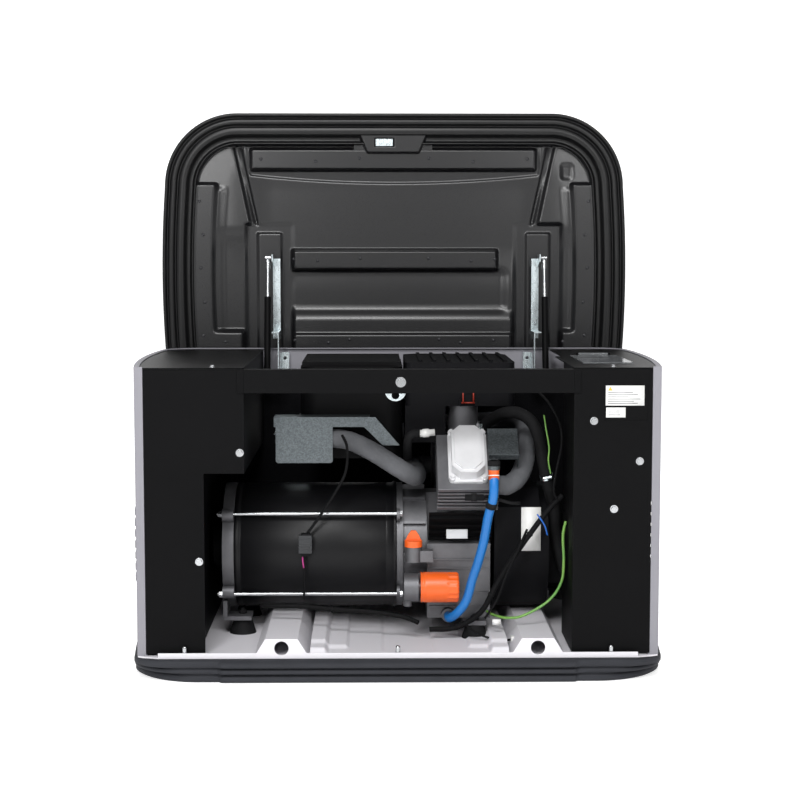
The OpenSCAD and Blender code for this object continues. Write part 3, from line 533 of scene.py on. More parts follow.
def dress(obj, bevel=0.0, wall=0.0, limit=35):
    """Adds a wall thickness and rounded edges, and shades the faces smooth between them."""
    mesh = obj.data
    mesh.polygons.foreach_set("use_smooth", np.ones(len(mesh.polygons), bool))
    if wall:
        solid = obj.modifiers.new("Wall", "SOLIDIFY")
        solid.thickness = wall
        solid.offset = -1
    if bevel:
        edge = obj.modifiers.new("Edges", "BEVEL")
        edge.width = bevel
        edge.segments = 2
        edge.limit_method = "ANGLE"
        edge.angle_limit = math.radians(limit)
        edge.harden_normals = True
    return obj


def refine(node, bevel):
    """A copy of a CAD node with its triangles merged into faces and its edges rounded."""
    source = frame["nodes"][node]
    mesh = bpy.data.meshes.new(node + "_finished")
    tidy = bmesh.new()
    tidy.from_mesh(source.data)
    bmesh.ops.remove_doubles(tidy, verts=tidy.verts, dist=1e-6)
    bmesh.ops.dissolve_limit(
        tidy, angle_limit=math.radians(0.6), verts=tidy.verts, edges=tidy.edges
    )
    for layer in list(tidy.loops.layers.float_vector.values()):
        tidy.loops.layers.float_vector.remove(layer)
    tidy.to_mesh(mesh)
    tidy.free()
    for attribute in [a.name for a in mesh.attributes if a.name == "custom_normal"]:
        mesh.attributes.remove(mesh.attributes[attribute])
    obj = bpy.data.objects.new(node + "_finished", mesh)
    bpy.context.scene.collection.objects.link(obj)
    dress(obj, bevel)
    return finish_piece(obj, BODY_OF[node], SLOT_OF[node], [node])


def unit(vectors):
    return vectors / np.maximum(np.linalg.norm(vectors, axis=-1, keepdims=True), 1e-12)


def smooth_route(route, step=0.004):
    """A Catmull-Rom curve through the route's points, resampled at even steps of length."""
    p = np.asarray(route, float)
    p = np.vstack([2 * p[0] - p[1], p, 2 * p[-1] - p[-2]])
    u = np.linspace(0, 1, 24, endpoint=False)[None, :, None]
    a, b, c, d = (p[i : len(p) - 3 + i, None, :] for i in range(4))
    curve = 0.5 * (
        2 * b + (c - a) * u + (2 * a - 5 * b + 4 * c - d) * u**2 + (3 * b - a - 3 * c + d) * u**3
    )
    curve = np.vstack([curve.reshape(-1, 3), p[-2]])
    length = np.concatenate([[0], np.cumsum(np.linalg.norm(np.diff(curve, axis=0), axis=1))])
    even = np.linspace(0, length[-1], max(3, int(length[-1] / step)))
    return np.stack([np.interp(even, length, curve[:, k]) for k in range(3)], 1)


def turning_frame(path):
    """Two directions square to a path, turned so that they twist as little as possible.

    A fixed direction, the one the path follows least, gives a first frame. The angle that
    this frame turns about the path from ring to ring is summed and taken out again.
    """
    tangent = unit(np.gradient(path, axis=0))
    fixed = np.linalg.svd(tangent, full_matrices=False)[2][2]
    first = unit(np.cross(tangent, fixed))
    second = np.cross(tangent, first)
    carried = first[:-1] - np.sum(first[:-1] * tangent[1:], 1, keepdims=True) * tangent[1:]
    turn = np.arctan2(np.sum(carried * second[1:], 1), np.sum(carried * first[1:], 1))
    angle = np.concatenate([[0], np.cumsum(turn)])[:, None]
    return (
        first * np.cos(angle) + second * np.sin(angle),
        second * np.cos(angle) - first * np.sin(angle),
    )


def tube(path, radius, sides=None):
    """A round tube: each ring is the path's point plus radius x (cos, sin) in its frame."""
    sides = sides or sizes().hose_sides
    path = np.asarray(path, float)
    one, two = turning_frame(path)
    angle = np.linspace(0, 2 * np.pi, sides, endpoint=False)[None, :, None]
    radius = np.broadcast_to(np.asarray(radius, float), (len(path),))[:, None, None]
    points = path[:, None] + radius * (
        np.cos(angle) * one[:, None] + np.sin(angle) * two[:, None]
    )
    return sheet_of(points, around=True, caps=True)


def lathe(profile, centre, axis, sides=48):
    """A profile of (distance from the axis, height along it) turned about an axis."""
    profile = np.asarray(profile, float)
    axis = unit(np.asarray(axis, float))
    helper = np.array([0.0, 0.0, 1.0]) if abs(axis[2]) < 0.9 else np.array([1.0, 0.0, 0.0])
    one = unit(np.cross(axis, helper))
    two = np.cross(axis, one)
    angle = np.linspace(0, 2 * np.pi, sides, endpoint=False)[None, :, None]
    radius, height = profile[:, 0, None, None], profile[:, 1, None, None]
    points = (
        np.asarray(centre, float)
        + height * axis
        + radius * (np.cos(angle) * one + np.sin(angle) * two)
    )
    return sheet_of(points, around=True)


def extruded(outline, low, high, axes=(0, 2, 1)):
    """A flat outline carried between two levels. axes are its two axes and the carried one."""
    outline = np.asarray(outline, float)
    rings = np.zeros((2, len(outline), 3))
    rings[:, :, axes[0]], rings[:, :, axes[1]] = outline[:, 0], outline[:, 1]
    rings[0, :, axes[2]], rings[1, :, axes[2]] = low, high
    return sheet_of(rings, around=True, caps=True)


def block(x, y, z):
    """A box between two positions on each axis."""
    return extruded([(x[0], z[0]), (x[1], z[0]), (x[1], z[1]), (x[0], z[1])], y[0], y[1])


def arc_points(centre, radius, start, stop, count=9):
    """Points at even angles along an arc, in degrees."""
    a = np.radians(np.linspace(start, stop, count))
    return np.stack([centre[0] + radius * np.cos(a), centre[1] + radius * np.sin(a)], 1)


def ease(t):
    """0 below 0, 1 above 1, and 3t^2 - 2t^3 between."""
    t = np.clip(t, 0, 1)
    return t * t * (3 - 2 * t)


def plateau(x, y, x_range, y_range, slope):
    """1 inside a rectangle, falling to 0 over a slope outside it, with rounded corners."""
    dx = np.maximum(np.maximum(x_range[0] - x, x - x_range[1]), 0)
    dy = np.maximum(np.maximum(y_range[0] - y, y - y_range[1]), 0)
    return ease(1 - np.hypot(dx, dy) / slope)


def stroke(x, y, a, b, half, slope):
    """1 within half of the line from a to b, falling to 0 over a slope beside it."""
    a, b = np.asarray(a, float), np.asarray(b, float)
    along = ((x - a[0]) * (b - a)[0] + (y - a[1]) * (b - a)[1]) / np.dot(b - a, b - a)
    along = np.clip(along, 0, 1)
    away = np.hypot(x - a[0] - along * (b - a)[0], y - a[1] - along * (b - a)[1])
    return ease(1 - (away - half) / slope)

# ---- Lid ----

PIVOT = np.array(JOINT["lid_hinge"]["pos_m"])
LID_CORNER = 0.18
REAR_CORNER = 0.08
BODY_HALF = 0.575
SIDE_BOW = 0.025


def open_place(x, y, z):
    """Places closed lid positions where the lid stands open, a quarter turn about its hinge."""
    return np.stack(
        [x, PIVOT[1] + (z - PIVOT[2]), PIVOT[2] - (y - PIVOT[1])],
        -1,
    )


def side_at(y):
    """Half the enclosure's width at a depth: widest at y = 50 mm, bowing in towards the front."""
    return BODY_HALF - SIDE_BOW * ((y - 0.05) / 0.38) ** 2


LID_LOW, LID_HIGH = corners("lid_shell")
LID_FRONT, LID_BACK = -0.352, 0.352
LID_RIM = LID_LOW[1] + PIVOT[2] - PIVOT[1]
LID_HEIGHT = LID_HIGH[1] - LID_LOW[1]


def lid_loop(inset, count=40):
    """The lid's outline at an inset: front edge, corner arc, bowed side, rear arc, back edge."""
    corner, rear = LID_CORNER - inset, max(REAR_CORNER - inset, 0.004)
    cy = LID_FRONT + LID_CORNER
    cx = side_at(cy) - LID_CORNER
    ry = 0.265
    rx = side_at(ry) - REAR_CORNER
    front_x = np.linspace(0, cx, count, endpoint=False)
    front = np.stack([front_x, np.full(count, LID_FRONT + inset)], 1)
    side_y = np.linspace(cy + 0.004, ry - 0.004, count)
    side = np.stack([side_at(side_y) - inset, side_y], 1)
    ry = LID_BACK - REAR_CORNER
    back = np.stack([np.linspace(rx, 0, count), np.full(count, LID_BACK - inset)], 1)
    half = np.vstack(
        [
            front,
            arc_points((cx, cy), corner, -90, 0, count),
            side,
            arc_points((rx, ry), rear, 0, 90, 16),
            back[1:],
        ]
    )
    left = half[1:-1][::-1] * [-1, 1]
    return np.vstack([half, left])


def lid_rings(profile):
    """Rings of the lid's outline, one for each (inset, height above the rim) of a profile."""
    rings = []
    for inset, height in profile:
        loop = lid_loop(inset)
        rings.append(open_place(loop[:, 0], loop[:, 1], np.full(len(loop), LID_RIM + height)))
    return np.array(rings)


# Centres of the liner's two raised strips
STRIPS = (-0.311, 0.359)
# Rivets of the liner as (x, y) of the closed lid: front pad, middle beam, rear beam, side pads
FRONT_RIVETS = [(-0.330, -0.241), (-0.195, -0.235), (-0.086, -0.243)]
MIDDLE_RIVETS = [(-0.250, 0.006), (-0.191, 0.010), (-0.085, 0.004)]
REAR_RIVETS = [(-0.248, 0.208), (-0.165, 0.214), (-0.112, 0.206)]
SIDE_RIVETS = [(-0.483, -0.137), (-0.475, -0.054), (-0.481, 0.028), (-0.472, 0.113)]
SIDE_RIVETS += [(-0.476, 0.196), (-0.422, 0.212)]


def pan_depth(x, y, step):
    """Depth of the liner behind the rim, in metres: a bulged floor with pads and beams."""
    side = np.abs(x)
    floor = 0.036 + 0.006 * plateau(x, y, (-0.30, 0.31), (-0.16, -0.03), 0.12)
    # The middle is lower than the two outer wings, with a sloping step between them
    edge = 0.338 + 0.045 * (-(y + 0.06) / 0.2)
    wing = ease((side - edge) / step)
    lean = 0.011 - 0.055 * (-y - 0.02) - 0.02 * np.maximum(side - edge, 0)
    floor = floor - lean * wing * ease((-0.02 - y) / 0.06)
    depth = floor
    groove = stroke(side, y, (0.392, -0.285), (0.346, -0.068), 0.006, 0.006)
    depth = depth + 0.009 * groove
    # Front pad, deepest at its middle, with a shallow curved panel behind it
    curve = -0.178 - 0.02 * (x / 0.36) ** 2
    behind = ease((curve - y) / 0.008) * plateau(x, y, (-0.355, 0.355), (-0.3, 0.0), 0.01)
    depth = depth + 0.004 * behind
    pad = plateau(x, y, (-0.352, 0.348), (-0.262, -0.219), step)
    depth = depth * (1 - pad) + 0.022 * pad
    # Side pads, one run along each side and round towards the back
    reach = side_at(y) - 0.119
    for sign in (-1, 1):
        s = sign * x
        pad = ease((s - reach + 0.012) / 0.012) * ease((y + 0.185) / step)
        slope = ease((s - reach + 0.038) / 0.026) * ease((y + 0.18) / 0.02)
        depth = depth * (1 - 0.35 * slope) + 0.65 * 0.02 * slope * 0.5
        depth = depth * (1 - pad) + 0.019 * pad
    rear = ease((y - 0.178) / 0.014) * ease((side - 0.37) / 0.012)
    depth = depth * (1 - rear) + 0.019 * rear
    # Stiffening beams
    beam = plateau(x, y, (-0.262, 0.252), (-0.012, 0.029), step)
    depth = depth * (1 - beam) + 0.018 * beam
    trough = plateau(x, y, (-0.262, 0.262), (0.05, 0.118), 0.03)
    depth = depth + 0.006 * trough
    sloped = ease((y - 0.13) / 0.03) * plateau(x, y, (-0.275, 0.29), (0, 0.3), 0.012)
    depth = depth * (1 - sloped) + 0.026 * sloped
    beam = plateau(x, y, (-0.272, 0.288), (0.197, 0.3), step)
    depth = depth * (1 - beam) + 0.018 * beam
    # A raised strip behind each arm stands in a deep slot
    for centre in STRIPS:
        slot = plateau(x, y, (centre - 0.052, centre + 0.052), (-0.075, 0.3), 0.012)
        strip = plateau(x, y, (centre - 0.026, centre + 0.026), (-0.055, 0.3), 0.007)
        depth = depth * (1 - slot) + 0.043 * slot
        depth = depth * (1 - strip) + 0.0375 * strip
    # Drain notch in the right-hand wing
    notch = plateau(x, y, (0.424, 0.436), (-0.222, -0.2), 0.014)
    return depth * (1 - notch) + 0.04 * notch


class GENERATOR_OT_lid(bpy.types.Operator):
    """Builds the lid's outer skin with its rolled rim, and the liner inside it"""

    bl_idname = "generator.lid"
    bl_label = "Lid"

    def execute(self, context):
        self.skin()
        self.pan()
        self.rivets()
        self.latch()
        return {"FINISHED"}

    def skin(self):
        """Outline rings: crowned top, rounded shoulder, wall, then rim ridges and the groove."""
        groove = sizes().groove_depth
        shoulder = [
            (0.018 * (1 - math.sin(a)), LID_HEIGHT - 0.018 + 0.018 * math.cos(a))
            for a in np.linspace(0, math.pi / 2, 7)
        ]
        rim = [
            (0.0, 0.006), (0.0008, 0.002), (0.003, 0.0), (0.0065, 0.0), (0.0085, 0.002),
            (0.0095, 0.009), (0.013, 0.010), (0.0145, 0.003), (0.018, 0.0005), (0.026, 0.0005),
            (0.0285, 0.003), (0.0295, 0.011), (0.033, 0.012), (0.0345, 0.006), (0.037, 0.004),
            (0.051, 0.004), (0.0535, 0.006), (0.056, groove), (0.066, groove + 0.002),
            (0.069, groove), (0.0715, 0.014), (0.074, 0.0125), (0.0765, 0.016),
        ]
        outer = lid_rings(shoulder + rim)
        # The top closes in towards the middle, crowned by a few millimetres
        share = np.linspace(0, 1, 26)[:, None, None]
        first = outer[0][None]
        centre = first.mean(axis=1, keepdims=True)
        top = centre * (1 - share) + first * share
        top[:, :, 1] += 0.006 * (1 - share[:, :, 0] ** 2)
        step = 0.0025 * (ease((share[:, :, 0] - 0.7) / 0.02) - ease((share[:, :, 0] - 0.9) / 0.02))
        top[:, :, 1] -= step
        points = np.concatenate([top[:-1], outer])
        make_piece(
            "lid_skin", sheet_of(points, around=True), "lid", "black_paint", ["lid_shell"],
            finish="lid_skin", wall=0.002,
        )

    def pan(self):
        """A height field: rows of points that fill the outline inset by 74 mm."""
        rows, columns = 236, 330
        inset = 0.0735
        y = np.linspace(LID_FRONT + inset, LID_BACK - inset, rows)
        corner = LID_CORNER - inset
        cy = LID_FRONT + LID_CORNER
        into = np.clip(cy - y, 0, corner)
        bend = corner - np.sqrt(np.maximum(corner**2 - into**2, 0))
        half = np.where(y < cy, side_at(cy), side_at(y)) - inset - bend
        u = np.linspace(-1, 1, columns)
        x = half[:, None] * u[None, :]
        y = np.broadcast_to(y[:, None], x.shape)
        depth = pan_depth(x, y, sizes().pan_step)
        edge = np.minimum(half[:, None] - np.abs(x), np.minimum(y - y.min(), y.max() - y))
        depth = depth + (0.016 - depth) * ease(1 - edge / 0.006)
        points = open_place(x, y, LID_RIM + depth)
        make_piece(
            "lid_pan", sheet_of(points), "lid", "black_plastic", ["lid_liner"],
            finish="lid_pan", closed=False,
        )

    def rivets(self):
        """Push rivets: a low dome on a thin flange, 4 to 6 mm behind the liner's pads."""
        r = sizes().rivet_radius
        places = np.array(FRONT_RIVETS + MIDDLE_RIVETS + REAR_RIVETS + SIDE_RIVETS)
        places = np.vstack([places, places * [-1, 1]])
        depth = pan_depth(places[:, 0], places[:, 1], sizes().pan_step)
        at = open_place(places[:, 0], places[:, 1], LID_RIM + depth)
        dome = [
            (0.0002, -0.0016), (0.45 * r, -0.0013), (0.6 * r, -0.0006), (r, -0.0004), (r, 0.0012),
        ]
        shells = [lathe(dome, point, (0, 1, 0), 16) for point in at]
        make_piece("liner_rivets", joined(shells), "lid", "black_plastic", finish="rivet_head")

    def latch(self):
        """The latch pocket: a sunk trapezoid at the rim with a slotted plate in it."""
        x, y = np.meshgrid(np.linspace(-0.1, 0.094, 90), np.linspace(-0.309, -0.246, 44))
        u = (y + 0.309) / 0.063
        near = ease((0.092 - 0.028 * u - np.abs(x + 0.003)) / 0.009) * ease((-0.252 - y) / 0.007)
        slot = plateau(x, y, (-0.047, -0.003), (-0.29, -0.272), 0.0025)
        depth = 0.0235 - 0.015 * near + 0.006 * slot
        points = open_place(x, y, LID_RIM + depth)
        make_piece(
            "latch_pocket", sheet_of(points), "lid", "black_plastic", finish="lid_pan",
            closed=False,
        )
        outline = [(-0.046, -0.2895), (-0.004, -0.2895), (-0.004, -0.2725), (-0.046, -0.2725)]
        plate = extruded(outline, 0.0, 0.001, (0, 1, 2))
        points = plate[0]
        placed = open_place(points[:, 0], points[:, 1], LID_RIM + 0.0115 + points[:, 2])
        make_piece("latch_plate", (placed, plate[1]), "lid", "zinc", bevel=0.0003)

# ---- Pad and enclosure ----

PAD_MARGIN = 0.007
PAD_REAR_CORNER = 0.09
PAD_APRON = 0.378


def pad_loop(corner, in_y, in_x, apron, count=60):
    """The pad's outline: bowed sides, round corners and a front apron that steps out."""
    half_y = corners("base_pad")[1][1] - in_y
    front_y, rear_y = corner - half_y, half_y - PAD_REAR_CORNER
    wide = PAD_MARGIN - in_x
    front_x, rear_x = side_at(front_y) + wide - corner, side_at(rear_y) + wide - PAD_REAR_CORNER
    x = np.linspace(0, front_x, 2 * count, endpoint=False)
    step = apron * ease((PAD_APRON - x) / 0.007)
    y = np.linspace(front_y + 0.004, rear_y - 0.004, count)
    half = np.vstack(
        [
            np.stack([x, -half_y - step], 1),
            arc_points((front_x, front_y), corner, -90, 0, count // 2),
            np.stack([side_at(y) + wide, y], 1),
            arc_points((rear_x, rear_y), PAD_REAR_CORNER, 0, 90, count // 2),
        ]
    )
    return np.vstack([half, half[1:][::-1] * [-1, 1]])


class GENERATOR_OT_pad(bpy.types.Operator):
    """Builds the moulded mounting pad with its bands and grooves"""

    bl_idname = "generator.pad"
    bl_label = "Mounting pad"

    def execute(self, context):
        out = sizes().pad_step
        # Each ring: height, corner radius, inset in depth and width, apron
        bands = [
            (0.0, 0.150, 0.016, 0.004, 0.006), (0.003, 0.150, 0.012, 0.0, out),
            (0.0135, 0.150, 0.012, 0.0, out), (0.0155, 0.150, 0.0135, 0.0015, 0.007),
            (0.017, 0.150, 0.015, 0.004, 0.005), (0.0195, 0.140, 0.012, 0.0035, 0.006),
            (0.0215, 0.112, 0.0065, 0.0005, out), (0.0285, 0.110, 0.006, 0.0, out),
            (0.0305, 0.110, 0.008, 0.003, 0.007), (0.032, 0.110, 0.010, 0.004, 0.005),
            (0.0335, 0.085, 0.006, 0.0025, 0.007), (0.036, 0.071, 0.001, 0.0, out * 0.96),
            (0.043, 0.070, 0.0, 0.0, out * 0.9), (0.0465, 0.070, 0.0005, 0.0005, 0.004),
            (0.049, 0.070, 0.002, 0.002, 0.0), (0.05, 0.070, 0.005, 0.005, 0.0),
        ]
        rings = []
        for height, corner, in_y, in_x, apron in bands:
            loop = pad_loop(corner, in_y, in_x, apron)
            rings.append(np.column_stack([loop, np.full(len(loop), height)]))
        make_piece(
            "pad_body", sheet_of(np.array(rings), around=True, caps=True), "frame",
            "pad_composite", ["base_pad"],
        )
        return {"FINISHED"}


class GENERATOR_OT_enclosure(bpy.types.Operator):
    """Refines the panels, boxes, plates and tray of the enclosure"""

    bl_idname = "generator.enclosure"
    bl_label = "Enclosure"

    def execute(self, context):
        edge = sizes().sheet_edge
        for node in (
            "left_side_panel", "right_side_panel", "rear_panel", "left_duct_box",
            "right_control_box", "left_top_plate", "right_top_plate", "front_crossbar",
            "latch_striker", "inlet_duct", "rear_insulation",
        ):
            refine(node, edge)
        refine("base_tray", 0.0012)
        self.trough()
        return {"FINISHED"}

    def trough(self):
        """Pressed steps between the tray's ridges: two terraces and a middle channel."""
        low, high = corners("base_tray")
        x, y = np.meshgrid(np.linspace(-0.186, 0.234, 260), np.linspace(low[1] + 0.004, 0.29, 220))
        middle = x - 0.022
        side = np.abs(middle)
        floor = 0.053
        terrace = ease((side - 0.168) / 0.012) * 0.012
        step = ease((side - 0.125) / 0.01) * 0.006 * ease((y + 0.29) / 0.02)
        channel = ease((0.06 - side) / 0.01) * 0.003 * ease((y + 0.31) / 0.01)
        front = ease((y - low[1] - 0.004) / 0.02)
        height = floor + 0.0008 + (terrace + step + 0.003 - channel) * front
        make_piece(
            "tray_trough", sheet_of(np.stack([x, y, height], -1)), "frame", "tray_paint",
            closed=False,
        )


class GENERATOR_OT_hardware(bpy.types.Operator):
    """Refines the hinges, gas struts, screws, studs and mounts"""

    bl_idname = "generator.hardware"
    bl_label = "Hinges and fasteners"

    def execute(self, context):
        edge = sizes().fastener_edge
        for node in (
            "hinge_brackets", "hinge_arms", "strut_tubes", "strut_rods", "enclosure_screws",
            "front_studs", "tie_rods", "rubber_mounts",
        ):
            refine(node, edge)
        return {"FINISHED"}


# ---- Alternator and engine ----


class GENERATOR_OT_alternator(bpy.types.Operator):
    """Refines the alternator: painted shell, castings, laminations and shaft"""

    bl_idname = "generator.alternator"
    bl_label = "Alternator"

    def execute(self, context):
        for node in ("end_bracket", "engine_adapter"):
            refine(node, sizes().casting_edge * 0.7)
        refine("brush_cover", 0.0012)
        for node in ("stator_core", "rotor_core", "drive_shaft", "rear_bearing"):
            refine(node, 0.0005)
        self.shell()
        return {"FINISHED"}

    def shell(self):
        """The rolled stator shell: a beaded tube, turned about the shaft."""
        low, high = corners("stator_housing")
        r = 0.14
        length = high[0] - low[0]
        profile = [
            (r - 0.006, 0.0), (r - 0.002, 0.0), (r, 0.002), (r, 0.0115), (r - 0.0015, 0.013),
            (r - 0.0015, 0.016), (r, 0.0175), (r, length - 0.026), (r - 0.001, length - 0.0245),
            (r - 0.001, length - 0.021), (r, length - 0.0195), (r + 0.0005, length - 0.009),
            (r + 0.003, length - 0.0075), (r + 0.003, length - 0.0008), (r + 0.0022, length),
            (r - 0.006, length), (r - 0.006, 0.0),
        ]
        centre = (low[0], (low[1] + high[1]) / 2, (low[2] + high[2]) / 2)
        make_piece(
            "stator_shell", lathe(profile, centre, (1, 0, 0), 128), "frame", "black_paint",
            ["stator_housing"], finish="stator_enamel",
        )


class GENERATOR_OT_engine(bpy.types.Operator):
    """Refines the engine block, cylinders, shrouds and fan housing"""

    bl_idname = "generator.engine"
    bl_label = "Engine"

    def execute(self, context):
        edge = sizes().casting_edge
        refine("crankcase", edge)
        refine("cylinder_heads", edge * 0.7)
        refine("valve_covers", edge * 1.2)
        refine("cylinder_shrouds", 0.0015)
        refine("blower_housing", sizes().moulded_edge)
        refine("flywheel", 0.001)
        refine("oil_filter_base", edge)
        refine("starter_motor", 0.0015)
        refine("cylinders", 0.0)
        return {"FINISHED"}


class GENERATOR_OT_air(bpy.types.Operator):
    """Refines the air box, mixer, regulator, muffler and heat shields"""

    bl_idname = "generator.air"
    bl_label = "Air, fuel and exhaust"

    def execute(self, context):
        refine("air_box", sizes().moulded_edge)
        refine("muffler", sizes().moulded_edge)
        refine("fuel_mixer", sizes().casting_edge)
        refine("gas_regulator", sizes().casting_edge)
        refine("heat_shield", sizes().sheet_edge)
        refine("head_shield", sizes().sheet_edge)
        refine("air_box_clip", 0.0)
        return {"FINISHED"}


class GENERATOR_OT_oil(bpy.types.Operator):
    """Builds the oil filter and the oil filler cap"""

    bl_idname = "generator.oil"
    bl_label = "Oil fittings"

    def execute(self, context):
        self.filter()
        refine("oil_filler_cap", 0.0012)
        return {"FINISHED"}

    def filter(self):
        """A spun can: radius over (length, angle), fluted at its closed end for a wrench."""
        low, high = corners("oil_filter")
        centre = np.array([low[0], (low[1] + high[1]) / 2, (low[2] + high[2]) / 2])
        radius = (high[2] - low[2]) / 2
        length = high[0] - low[0]
        along = np.concatenate([
            [0.0, 0.0015, 0.004, 0.006], np.linspace(0.0075, length - 0.03, 8),
            np.linspace(length - 0.028, length - 0.006, 14), length - 0.006 + 0.006 * np.sin(
                np.linspace(0.2, np.pi / 2, 8)),
        ])
        end = np.clip((along - length + 0.006) / 0.006, 0, 1)
        body = radius - 0.006 * (1 - np.sqrt(np.maximum(1 - end**2, 0)))
        body = body - 0.0018 * np.exp(-(((along - 0.005) / 0.0016) ** 2))
        angle = np.linspace(0, 2 * np.pi, 180, endpoint=False)
        flute = ease((along - length + 0.027) / 0.006)[:, None]
        wave = 0.0016 * (0.5 - 0.5 * np.cos(15 * angle))[None, :] ** 0.7
        r = body[:, None] - flute * wave
        points = centre + np.stack(
            [
                np.broadcast_to(along[:, None], r.shape),
                r * np.cos(angle),
                r * np.sin(angle),
            ],
            -1,
        )
        make_piece(
            "oil_filter_can", sheet_of(points, around=True, caps=True), "frame",
            "orange_paint", ["oil_filter"],
        )


# ---- Hoses and wiring ----

ROUTES = {
    "fuel": [
        (0.1863, -0.022, 0.505), (0.196, -0.022, 0.505), (0.212, -0.046, 0.522),
        (0.239, -0.094, 0.543), (0.27, -0.116, 0.545), (0.298, -0.132, 0.526),
        (0.314, -0.146, 0.486), (0.322, -0.152, 0.44), (0.335, -0.14, 0.385), (0.35, -0.116, 0.335),
        (0.354, -0.112, 0.28), (0.364, -0.112, 0.23), (0.382, -0.112, 0.175), (0.4, -0.104, 0.128),
        (0.412, -0.06, 0.112), (0.419, -0.016, 0.112), (0.42, -0.004, 0.112), (0.42, 0.0077, 0.112),
    ],
    "drain": [
        (0.203, -0.29, 0.4456), (0.203, -0.29, 0.438), (0.203, -0.29, 0.43), (0.203, -0.296, 0.408),
        (0.201, -0.295, 0.38), (0.192, -0.28, 0.34), (0.184, -0.262, 0.284), (0.173, -0.246, 0.236),
        (0.161, -0.234, 0.194), (0.151, -0.228, 0.154), (0.141, -0.226, 0.134),
        (0.127, -0.218, 0.116), (0.114, -0.202, 0.104), (0.112, -0.19, 0.104),
        (0.112, -0.1783, 0.104),
    ],
    "rear_exhaust": [
        (0.0846, 0.16, 0.395), (0.072, 0.16, 0.395), (0.06, 0.16, 0.395), (0.046, 0.14, 0.396),
        (0.042, 0.11, 0.398), (0.044, 0.04, 0.4), (0.046, -0.04, 0.4), (0.042, -0.108, 0.403),
        (0.026, -0.146, 0.414), (-0.005, -0.156, 0.434), (-0.055, -0.144, 0.464),
        (-0.105, -0.122, 0.485), (-0.145, -0.11, 0.49), (-0.168, -0.101, 0.49),
        (-0.172, -0.088, 0.49), (-0.172, -0.0754, 0.49),
    ],
    "front_exhaust": [
        (0.2174, -0.197, 0.396), (0.229, -0.197, 0.396), (0.24, -0.197, 0.396),
        (0.262, -0.182, 0.409), (0.278, -0.15, 0.432), (0.288, -0.112, 0.462),
        (0.295, -0.06, 0.486), (0.298, 0.02, 0.496), (0.296, 0.12, 0.5), (0.284, 0.215, 0.498),
        (0.246, 0.276, 0.49), (0.16, 0.3, 0.482), (0.086, 0.286, 0.478), (0.054, 0.226, 0.474),
        (0.04, 0.192, 0.472), (0.027, 0.19, 0.472), (0.02, 0.19, 0.472), (0.0134, 0.19, 0.472),
    ],
    "sensor": [
        (-0.121, -0.15, 0.501), (-0.11, -0.162, 0.474), (-0.114, -0.17, 0.42),
        (-0.142, -0.172, 0.367), (-0.174, -0.172, 0.319), (-0.197, -0.172, 0.2874),
    ],
    "sensor_tail": [
        (-0.203, -0.172, 0.2356), (-0.204, -0.173, 0.18), (-0.206, -0.174, 0.14),
    ],
    "tail_loom": [
        (-0.3, -0.158, 0.122), (-0.268, -0.174, 0.126), (-0.205, -0.182, 0.126),
        (-0.14, -0.184, 0.12), (-0.06, -0.184, 0.114), (0.01, -0.188, 0.104), (0.046, -0.2, 0.093),
    ],
    "main_loom": [
        (0.36, -0.19, 0.372), (0.32, -0.2, 0.331), (0.254, -0.206, 0.241), (0.213, -0.207, 0.174),
        (0.182, -0.207, 0.118), (0.129, -0.205, 0.084), (0.07, -0.2, 0.078),
    ],
    "plug_lead": [
        (0.1823, -0.29, 0.383), (0.186, -0.282, 0.383), (0.196, -0.274, 0.382),
        (0.216, -0.27, 0.375), (0.242, -0.266, 0.367), (0.262, -0.256, 0.366),
    ],
    "ground": [
        (0.363, -0.232, 0.322), (0.357, -0.235, 0.29), (0.359, -0.236, 0.236),
        (0.354, -0.236, 0.189), (0.326, -0.236, 0.148), (0.273, -0.234, 0.116),
        (0.238, -0.222, 0.108), (0.212, -0.194, 0.108), (0.198, -0.1634, 0.11),
    ],
}


